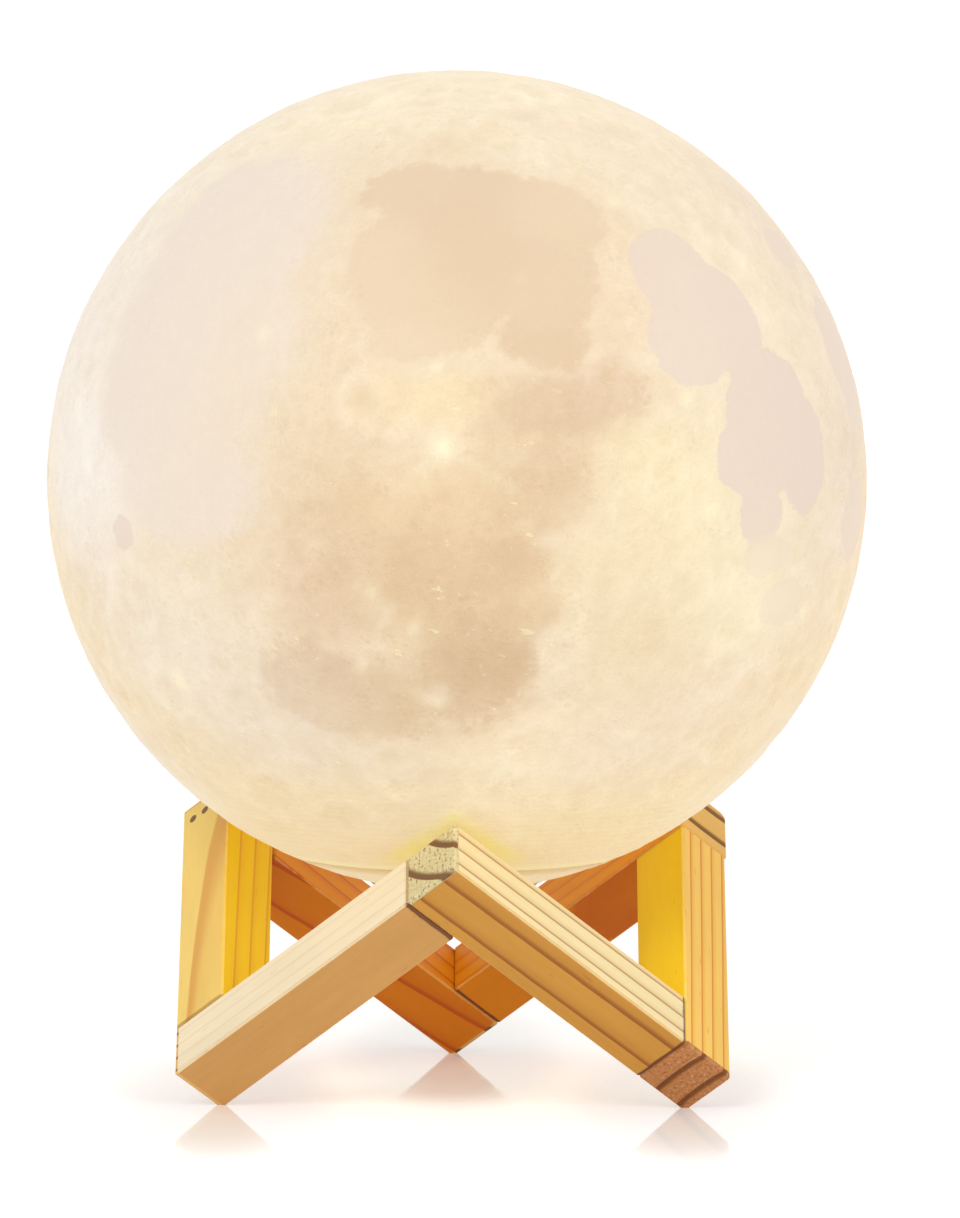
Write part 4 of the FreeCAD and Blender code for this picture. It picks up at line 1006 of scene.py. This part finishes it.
class MOONLAMP_OT_stage(bpy.types.Operator):
    """Sets the floor, the lamps and the camera"""
    bl_idname = "moonlamp.stage"
    bl_label = "Stage"

    def execute(self, context):
        s = context.scene.moon_lamp_stage
        scene = context.scene
        model = bmesh.new()
        bmesh.ops.create_grid(model, x_segments=1, y_segments=1, size=s.floor_size / 2)
        mesh = bpy.data.meshes.new("floor")
        model.to_mesh(mesh)
        model.free()
        floor = bpy.data.objects.new("floor", mesh)
        scene.collection.objects.link(floor)
        m = Material("floor")
        x, y, z = m.parts(m.place)
        near = Value(m.tree, 0.0)
        for foot_x, foot_y in FEET:
            across = (x - foot_x) / MIRROR_WIDE
            ahead = (y - foot_y) / MIRROR_DEEP
            near = near.high((across * across + ahead * ahead).step(1.0, 0.0))
        light = m.node("ShaderNodeLightPath").outputs
        seen = m.value(light["Is Camera Ray"]).high(m.value(light["Is Glossy Ray"])) \
            .high(m.value(light["Is Transmission Ray"]))
        far = (x * x + y * y).step(0.09, 2.0)
        m.feed("Base Color", (0.90, 0.90, 0.90, 1))
        m.feed("Roughness", 0.9)
        m.feed("Specular IOR Level", 0.1)
        m.feed("Coat Weight", near * 0.8)
        m.feed("Coat Roughness", 0.05)
        m.feed("Emission Color", m.grey(seen * (0.41 - near * 0.19 + far * 0.25)))
        m.feed("Emission Strength", 1.0)
        mesh.materials.append(m.material)

        world = bpy.data.worlds.new("studio")
        scene.world = world
        world.use_nodes = True
        tree = world.node_tree
        back = tree.nodes["Background"]
        light = tree.nodes.new("ShaderNodeLightPath").outputs
        seen = Value(tree, light["Is Camera Ray"]).high(
            Value(tree, light["Is Glossy Ray"])).high(
            Value(tree, light["Is Transmission Ray"]))
        tree.links.new((seen * 0.40 + 0.60).source, back.inputs["Strength"])
        back.inputs["Color"].default_value = (1, 1, 1, 1)

        for name, place, size, power, tone in LAMPS:
            lamp = bpy.data.lights.new(name, "AREA")
            lamp.size = size
            lamp.energy = power
            lamp.color = tone
            holder = bpy.data.objects.new(name, lamp)
            holder.location = place
            holder.rotation_euler = (GLOBE_MIDDLE - Vector(place)).to_track_quat(
                "-Z", "Y").to_euler()
            scene.collection.objects.link(holder)

        lens = bpy.data.cameras.new("camera")
        lens.lens = s.lens
        lens.sensor_fit = "VERTICAL"
        lens.sensor_height = 36.0
        camera = bpy.data.objects.new("camera", lens)
        camera.location = s.place
        camera.rotation_euler = s.aim
        scene.collection.objects.link(camera)
        scene.camera = camera
        scene.view_settings.view_transform = "Standard"
        return {"FINISHED"}


class MOONLAMP_PT_panel(bpy.types.Panel):
    """Lists the lamp's sizes and its pieces"""
    bl_idname = "MOONLAMP_PT_panel"
    bl_label = "Moon Lamp"
    bl_space_type = "VIEW_3D"
    bl_region_type = "UI"
    bl_category = "Moon Lamp"

    def draw(self, context):
        layout = self.layout
        for group in (context.scene.moon_lamp_globe, context.scene.moon_lamp_stand,
                      context.scene.moon_lamp_stage):
            box = layout.box()
            for name in group.__annotations__:
                box.prop(group, name)
        for operator in OPERATORS:
            layout.operator(operator.bl_idname)


GROUPS = {"moon_lamp_globe": MoonLampGlobe, "moon_lamp_stand": MoonLampStand,
          "moon_lamp_stage": MoonLampStage}
OPERATORS = (MOONLAMP_OT_globe, MOONLAMP_OT_cap, MOONLAMP_OT_stand, MOONLAMP_OT_inside,
             MOONLAMP_OT_stage)


def register():
    for thing in (*GROUPS.values(), *OPERATORS, MOONLAMP_PT_panel):
        bpy.utils.register_class(thing)
    for name, group in GROUPS.items():
        setattr(bpy.types.Scene, name, bpy.props.PointerProperty(type=group))


def unregister():
    for name in GROUPS:
        delattr(bpy.types.Scene, name)
    for thing in (MOONLAMP_PT_panel, *reversed(OPERATORS), *reversed(GROUPS.values())):
        bpy.utils.unregister_class(thing)


def main():
    register()
    bpy.ops.moonlamp.globe()
    bpy.ops.moonlamp.cap()
    bpy.ops.moonlamp.stand()
    bpy.ops.moonlamp.inside()
    bpy.ops.moonlamp.stage()


if __name__ == "__main__":
    main()
